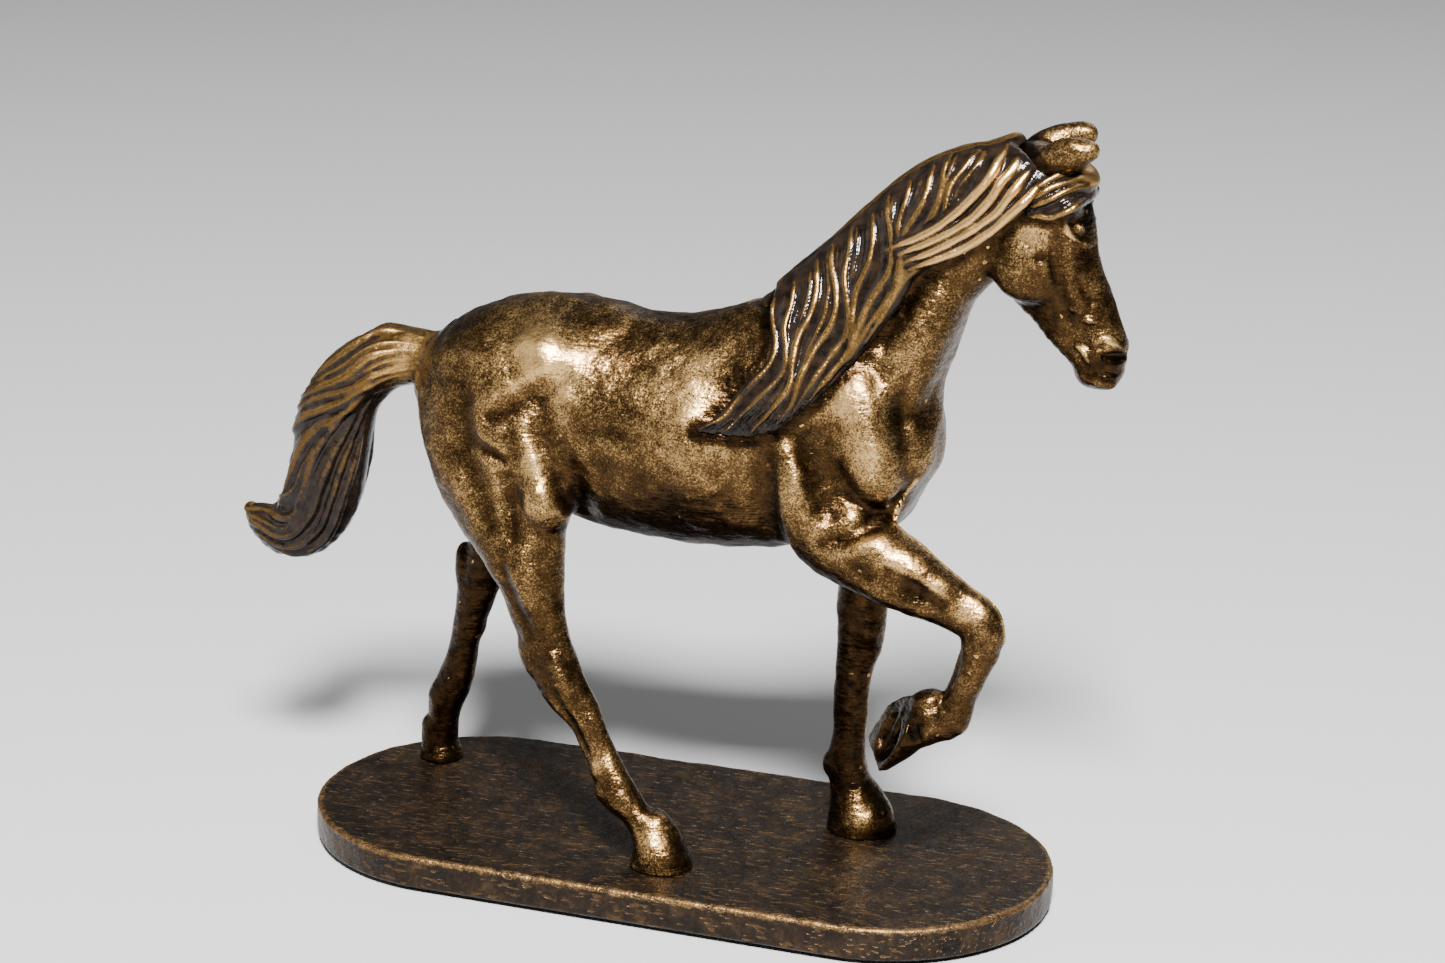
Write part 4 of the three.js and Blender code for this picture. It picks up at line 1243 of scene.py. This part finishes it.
CASTING_VOXELS = {
    "torso": 0.28,
    "neck_and_head": 0.18,
    "right_hind_leg": 0.2,
    "left_hind_leg": 0.2,
    "left_foreleg": 0.2,
    "right_foreleg_raised": 0.2,
}
HAIR_VOXEL = 0.17
HAIR_GAP = 0.05  # between hair and skin
MESH_MARGIN = 2.5  # how far past its CAD box a casting's clay reaches

LUMPS = [(4.5, 0.2, 1), (2.3, 0.14, 2), (1.1, 0.06, 3)]  # hand-worked unevenness: size, height and seed


def roughen(points, normals, lumps=LUMPS):
    """Moves points in and out, as a hand-worked surface varies."""
    rise = sum(height * lattice_noise(points, size, seed) for size, height, seed in lumps)
    return points + rise[:, None] * normals


RIDGE_COAT = 0.7
DOWNWARD_SHADE = 0.35  # painted shade: how much gold a face that looks down loses
INNER_LEG_SHADE = 0.3  # painted shade on a leg's face that looks to the other leg
LEG_TOP, LEG_LOW, LEG_SHADE = 42.0, 26.0, 0.12  # the legs are painted darker towards the ground, as painted shade

# Where the gold is rubbed thick, or is worn or never reached, and where light and shade are painted in: most
# gains are painted highlights on faces that catch the light, partly rubbed gilding; the losses behind the
# mane, under the belly and in the hollows by the eye and in the nostril are painted shade. Place in the side
# view, radius and change
WEAR_AND_PAINTED_LIGHT = [
    (-13.0, 55.8, 4.5, 0.3),  # croup: painted highlight
    (-16.0, 59.0, 4.0, 0.15),
    (-9.6, 53.4, 2.2, 0.25),  # point of the hip: painted highlight
    (3.6, 55.4, 5.0, 0.25),  # ribs: painted highlight
    (2.4, 50.0, 4.0, 0.1),
    (18.3, 55.1, 2.4, 0.4),  # shoulder: painted highlight
    (21.0, 49.6, 2.6, 0.2),
    (23.0, 60.0, 3.0, 0.15),  # neck: painted highlight
    (-12.7, 45.4, 1.8, 0.3),  # stifle: painted highlight
    (-14.6, 40.9, 1.6, 0.2),
    (35.2, 72.3, 2.0, 0.42),  # cheek: painted highlight
    (39.2, 72.6, 0.8, 0.3),  # under the eye
    (43.6, 61.8, 0.9, 0.4),  # nostril's wing: painted highlight
    (40.9, 60.8, 0.6, 0.4),  # corner of the mouth: painted highlight
    (-29.5, 52.0, 4.5, 0.3),  # root of the tail
    (8.2, 55.4, 1.8, -0.7),  # painted shade behind the mane
    (2.0, 39.0, 6.0, -0.15),  # painted shade under the belly
    (36.7, 70.0, 0.6, -0.6),  # spot on the cheek
    (38.4, 66.0, 2.6, -0.22),  # side of the face
    (40.6, 73.4, 0.8, -0.5),  # eye
    # painted shade in the hollow under the eye
    (40.4, 69.6, 0.9, -0.3),
    (43.4, 59.2, 1.6, -0.6),  # end of the muzzle
    (44.2, 60.4, 0.8, -0.6),  # painted shade in the nostril
    (42.6, 57.4, 0.5, 0.3),  # chin
    (-37.0, 43.0, 4.0, -0.15),  # inside of the tail
    (-40.0, 35.0, 5.5, -0.16),
]
RIGHT_WEAR_AND_PAINTED_LIGHT = [
    (22.0, 41.4, 1.1, 0.35),  # painted highlight along the ridge of the raised forearm, partly rubbed gilding
    (25.4, 39.3, 1.1, 0.35),
    (28.8, 37.2, 1.1, 0.35),
    (32.4, 34.9, 1.3, 0.35),
    (27.0, 36.6, 1.1, -0.4),  # painted shade in the hollow under it
]
# The same by place in space, where the masses have no skin: painted shade round the tail's root and on and
# behind the raised sole, painted highlights on the hind cannon and the hooves
PLACED_WEAR_AND_PAINTED_LIGHT = [
    ((-24.3, 0.0, 52.0), 3.4, -1.0),  # painted shade: dark ring round the root of the tail
    ((24.9, -7.4, 21.6), 2.1, -0.9),  # painted shade on the sole
    ((26.4, -8.8, 22.4), 1.2, -0.7),
    ((24.0, -7.2, 19.4), 1.5, -0.7),
    ((27.6, -8.7, 22.6), 0.8, -0.6),  # painted shade behind the heel
    ((-5.0, -11.0, 14.6), 1.6, 0.3),  # painted highlight on the hind cannon
    ((0.6, -13.0, 7.6), 2.0, 0.35),  # painted highlight on the hind hoof
    ((18.6, 3.0, 6.8), 2.4, 0.6),  # painted highlight on the fore hoof
    ((33.6, -2.6, 78.0), 2.2, 0.5),  # poll
]


CREST_GOLD, MOULD_LINE_GOLD = 0.3, 0.3


def gold_and_light_centres():
    """Where the gold differs, by wear and dark paint and by painted highlights and painted shade: centres in
    space, each with its radius and its change.
    """
    yield from PLACED_WEAR_AND_PAINTED_LIGHT
    for side, spots in ((-1, WEAR_AND_PAINTED_LIGHT + RIGHT_WEAR_AND_PAINTED_LIGHT), (1, WEAR_AND_PAINTED_LIGHT)):
        for x, z, radius, change in spots:
            yield on_skin([(x, z)], side, 0.0)[0], radius, change
    for guide in MANE_GUIDES:
        yield on_skin([guide[0]], -1, 1.0)[0], 1.2, CREST_GOLD
    for line in mould_lines:
        for point in smooth_path(line, 0.25):
            yield point, 0.3, MOULD_LINE_GOLD


gold_and_light_spots = list(gold_and_light_centres())


def relief_coat(points, faces, normals, rounds, depth):
    """How much gold each vertex holds: 0 in a hollow of a depth, 0.5 where it is flat, more on a ridge."""
    hollow = hollowness(points, normals, Neighbours(faces, len(points)), rounds)
    return np.clip(0.5 - hollow / (2 * depth), 0, RIDGE_COAT)


def paint_shade_light_and_wear(gold_and_painted_light, points, normals):
    """The gold that is left once painted shade on downward faces and on the legs, and the spots of wear, dark
    paint, painted highlight and painted shade, have changed it.
    """
    # Painted shade: less gold on faces that look down, on the legs towards the ground and on a leg's face
    # that looks to the other leg.
    gold_and_painted_light = gold_and_painted_light + DOWNWARD_SHADE * np.clip(normals[:, 2] + 0.1, -1, 0)
    on_leg = np.clip((LEG_TOP - points[:, 2]) / (LEG_TOP - LEG_LOW), 0, 1)
    inwards = np.clip(-normals[:, 1] * np.sign(points[:, 1]), 0, 1)
    gold_and_painted_light -= on_leg * (LEG_SHADE + INNER_LEG_SHADE * inwards)
    for centre, radius, change in gold_and_light_spots:
        gold_and_painted_light += change * np.exp(-((points - centre) ** 2).sum(axis=1) / radius**2)
    return np.clip(gold_and_painted_light, 0, 1)


def finish_piece(piece, node, material, gold_and_painted_light):
    # How much gold shows: the relief's gilding with painted highlights and painted shade in it.
    write_attribute(piece.data, "gold_and_painted_light", gold_and_painted_light)
    close_and_smooth(piece)
    piece.data.materials.append(material)
    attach(piece, "root")
    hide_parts(node)


HAIR_SHADE = 1.3  # how far from hair the painted shade on the skin beside it reaches
SHADE_LOSS = 0.7  # how much gold the painted shade takes right beside the hair
BODY_RELIEF = {"rounds": 30, "depth": 0.34}
LAID_HAIR_RELIEF = {"rounds": 36, "depth": 0.12}
TAIL_RELIEF = {"rounds": 36, "depth": 0.24}


def make_casting(name, voxel):
    clay = build_body(drawn_box(name, MESH_MARGIN), voxel)
    points, faces = surface_net(clay)
    points = roughen(points, vertex_normals(points, faces))
    normals = vertex_normals(points, faces)
    gold_and_painted_light = relief_coat(points, faces, normals, **BODY_RELIEF)
    # Painted shade on the skin beside the mane and the forelock.
    for hair in hair_clays:
        near = ((points > hair.low) & (points < hair.high)).all(axis=1)
        gold_and_painted_light[near] -= SHADE_LOSS * np.clip(1 - hair.sample(points[near]) / HAIR_SHADE, 0, 1)
    gold_and_painted_light = paint_shade_light_and_wear(gold_and_painted_light, points, normals)
    points, faces = trim(name, points, faces, normals)
    points, faces, gold_and_painted_light = drop_unused(points, faces, gold_and_painted_light)
    finish_piece(make_object(f"{name}_cast", points, faces), name, bronze, gold_and_painted_light)


HAIR_LUMPS = [(1.1, 0.05, 4)]
# Heights off the skin where the gold starts, is full and is thickest
LOW_HAIR, HIGH_HAIR, TOP_HAIR = 0.7, 1.15, 1.7
TOP_GOLD = 0.35


def make_hair(name, add_strands, on_body):
    clay = Clay.empty(*drawn_box(name, MESH_MARGIN), HAIR_VOXEL * COARSE)
    if on_body:
        add_strands(clay)
        hair_clays.append(Clay(clay.low, clay.voxel, clay.field.copy()))
        clay.hollow_out(rough, HAIR_GAP)
    else:
        add_masses(clay)
        add_strands(clay)
    points, faces = surface_net(clay)
    points = roughen(points, vertex_normals(points, faces), HAIR_LUMPS)
    normals = vertex_normals(points, faces)
    gold_and_painted_light = relief_coat(points, faces, normals, **(LAID_HAIR_RELIEF if on_body else TAIL_RELIEF))
    if on_body:
        height = rough.sample(points)
        gold_and_painted_light *= np.clip((height - LOW_HAIR) / (HIGH_HAIR - LOW_HAIR), 0, 1)
        gold_and_painted_light += TOP_GOLD * np.clip((height - HIGH_HAIR) / (TOP_HAIR - HIGH_HAIR), 0, 1)
    gold_and_painted_light = paint_shade_light_and_wear(gold_and_painted_light, points, normals)
    points, faces = trim(name, points, faces, normals)
    points, faces, gold_and_painted_light = drop_unused(points, faces, gold_and_painted_light)
    finish_piece(make_object(f"{name}_cast", points, faces), name, hair_bronze, gold_and_painted_light)


hair_clays = []
make_hair("mane", add_mane, True)
make_hair("forelock", add_forelock, True)
make_hair("tail", add_tail_strands, False)
for name, voxel in CASTING_VOXELS.items():
    make_casting(name, voxel)

# ---- Plinth and what is fixed in it --------------------------------------------------------------

PLINTH_VOXEL = 0.25
RIM_ROUND = 0.32
FIT_GAP = 0.3  # round the felt, the fixings and the studs
FELT_RECESS_ROUND = 0.1
TOP_RIM = 0.8  # how far below the plinth's top the gold on the rim stops: partly rubbed gilding, partly a painted highlight along the lit top edge
FLAT_COAT = 0.5  # the coat where the surface is flat
PLINTH_RELIEF = {"rounds": 6, "depth": 0.08}
PLINTH_LUMPS = [(5.0, 0.05, 5), (1.6, 0.06, 6), (0.8, 0.03, 7)]


def round_ended(clay, box, rounding):
    """Distances to a flat plate with round ends, its edges rounded."""
    x, y, z = clay.axes()
    middle, half = (box[0] + box[1]) / 2, (box[1] - box[0]) / 2
    straight = np.maximum(np.abs(x - middle[0]) - (half[0] - half[1]), 0)
    across = np.hypot(straight, y - middle[1]) - half[1] + rounding
    up = np.abs(z - middle[2]) - half[2] + rounding
    outside = np.hypot(np.maximum(across, 0), np.maximum(up, 0))
    return (np.minimum(np.maximum(across, up), 0) + outside - rounding).astype(np.float32)


def bore(clay, node, top=None):
    """A round hole for a node, with clearance, up to a little above it or to a height."""
    low, high = drawn_box(node, 0)
    x, y, z = clay.axes()
    centre, radius = (low + high)[:2] / 2, (high - low)[:2].max() / 2 + FIT_GAP
    away = np.hypot(x - centre[0], y - centre[1]) - radius
    reach = np.maximum(away, z - (high[2] + FIT_GAP if top is None else top))
    np.maximum(clay.field, -reach.astype(np.float32), out=clay.field)


def make_plinth():
    low, high = drawn_box("plinth", 0)
    clay = Clay.empty(low - 1, high + 1, PLINTH_VOXEL * COARSE)
    clay.field[...] = round_ended(clay, (low, high), RIM_ROUND)
    felt_low, felt_high = drawn_box("felt_pad", FIT_GAP)
    recess = round_ended(clay, (felt_low - (0, 0, 1), felt_high), FELT_RECESS_ROUND)
    np.maximum(clay.field, -recess, out=clay.field)
    for limb in ("right_hind", "left_hind", "left_fore"):
        bore(clay, f"{limb}_stud", high[2] + 1)
        bore(clay, f"{limb}_washer")
    points, faces = surface_net(clay)
    normals = vertex_normals(points, faces)
    worked = normals[:, 2] > -0.5  # the underside stays flat
    points[worked] = roughen(points[worked], normals[worked], PLINTH_LUMPS)
    normals = vertex_normals(points, faces)
    gold_and_painted_light = relief_coat(points, faces, normals, **PLINTH_RELIEF)
    # Gold only along the top rim: partly rubbed, partly a painted highlight where the top edge catches the
    # light; the lower rim is left without.
    gold_and_painted_light[points[:, 2] < high[2] - TOP_RIM] = FLAT_COAT
    piece = make_object("plinth_cast", points, faces)
    finish_piece(piece, "plinth", plinth_bronze, gold_and_painted_light)


make_plinth()
for name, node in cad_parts.items():
    if name == "felt_pad" or name.endswith(("dowel", "stud", "nut", "washer")):
        node.data.materials.clear()
        node.data.materials.append(felt if name == "felt_pad" else brass)

# ---- Stage ---------------------------------------------------------------------------------------

FLOOR_SIZE = 3.0
FLOOR_GREY = 0.3
WORLD_GREY, WORLD_STRENGTH = 0.5, 0.28
bpy.ops.mesh.primitive_plane_add(size=FLOOR_SIZE, location=(0, 0, cad_box[0][2]))
floor = bpy.context.object
floor.name = "floor"
floor_material = bpy.data.materials.new("floor")
floor_material.use_nodes = True
floor_material.node_tree.nodes["Principled BSDF"].inputs["Base Color"].default_value = (*3 * (FLOOR_GREY,), 1)
floor.data.materials.append(floor_material)
floor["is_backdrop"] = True


def add_light(name, place, target, size, watts):
    data = bpy.data.lights.new(name, "AREA")
    data.size = size
    data.energy = watts
    light = bpy.data.objects.new(name, data)
    light.location = place
    light.rotation_euler = (Vector(target) - Vector(place)).to_track_quat("-Z", "Y").to_euler()
    bpy.context.scene.collection.objects.link(light)


LIT_POINT = (0, 0, 0.045)
add_light("key", (0.16, -0.46, 0.58), LIT_POINT, size=0.15, watts=48)
add_light("fill", (-0.6, -0.25, 0.3), LIT_POINT, size=0.5, watts=1.5)
add_light("rim", (0.1, 0.5, 0.5), LIT_POINT, size=0.5, watts=1.5)
world = bpy.data.worlds.new("studio")
world.use_nodes = True
background = world.node_tree.nodes["Background"]
background.inputs["Color"].default_value = (*3 * (WORLD_GREY,), 1)
background.inputs["Strength"].default_value = WORLD_STRENGTH
bpy.context.scene.world = world

# ---- Camera --------------------------------------------------------------------------------------

CAMERA_AZIMUTH = np.radians(18.5)
CAMERA_ELEVATION = np.radians(17.1)
CAMERA_ROLL = np.radians(1.33)
CAMERA_DISTANCE = 346.4  # drawn millimetres, as the target is
CAMERA_TARGET = (3.94, 0, 42.56)
SENSOR_WIDTH = 36.0  # millimetres, as the focal length is
FOCAL_LENGTH = 84.706
CLIP_START = 0.01  # metres

back = Vector(
    (
        np.sin(CAMERA_AZIMUTH) * np.cos(CAMERA_ELEVATION),
        -np.cos(CAMERA_AZIMUTH) * np.cos(CAMERA_ELEVATION),
        np.sin(CAMERA_ELEVATION),
    )
)
camera_data = bpy.data.cameras.new("camera")
camera_data.sensor_width = SENSOR_WIDTH
camera_data.lens = FOCAL_LENGTH
camera_data.clip_start = CLIP_START
camera = bpy.data.objects.new("camera", camera_data)
target = Vector(to_metres(CAMERA_TARGET))
level = back.to_track_quat("Z", "Y").to_matrix()
rotation = level @ Matrix.Rotation(CAMERA_ROLL, 3, "Z")
place = target + back * CAMERA_DISTANCE * METRES_PER_MM
camera.matrix_world = Matrix.Translation(place) @ rotation.to_4x4()
bpy.context.scene.collection.objects.link(camera)
bpy.context.scene.camera = camera

visual_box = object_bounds()
boxes = {"cad": cad_box, "visual": visual_box}
{name: [list(corner) for corner in box] for name, box in boxes.items()}
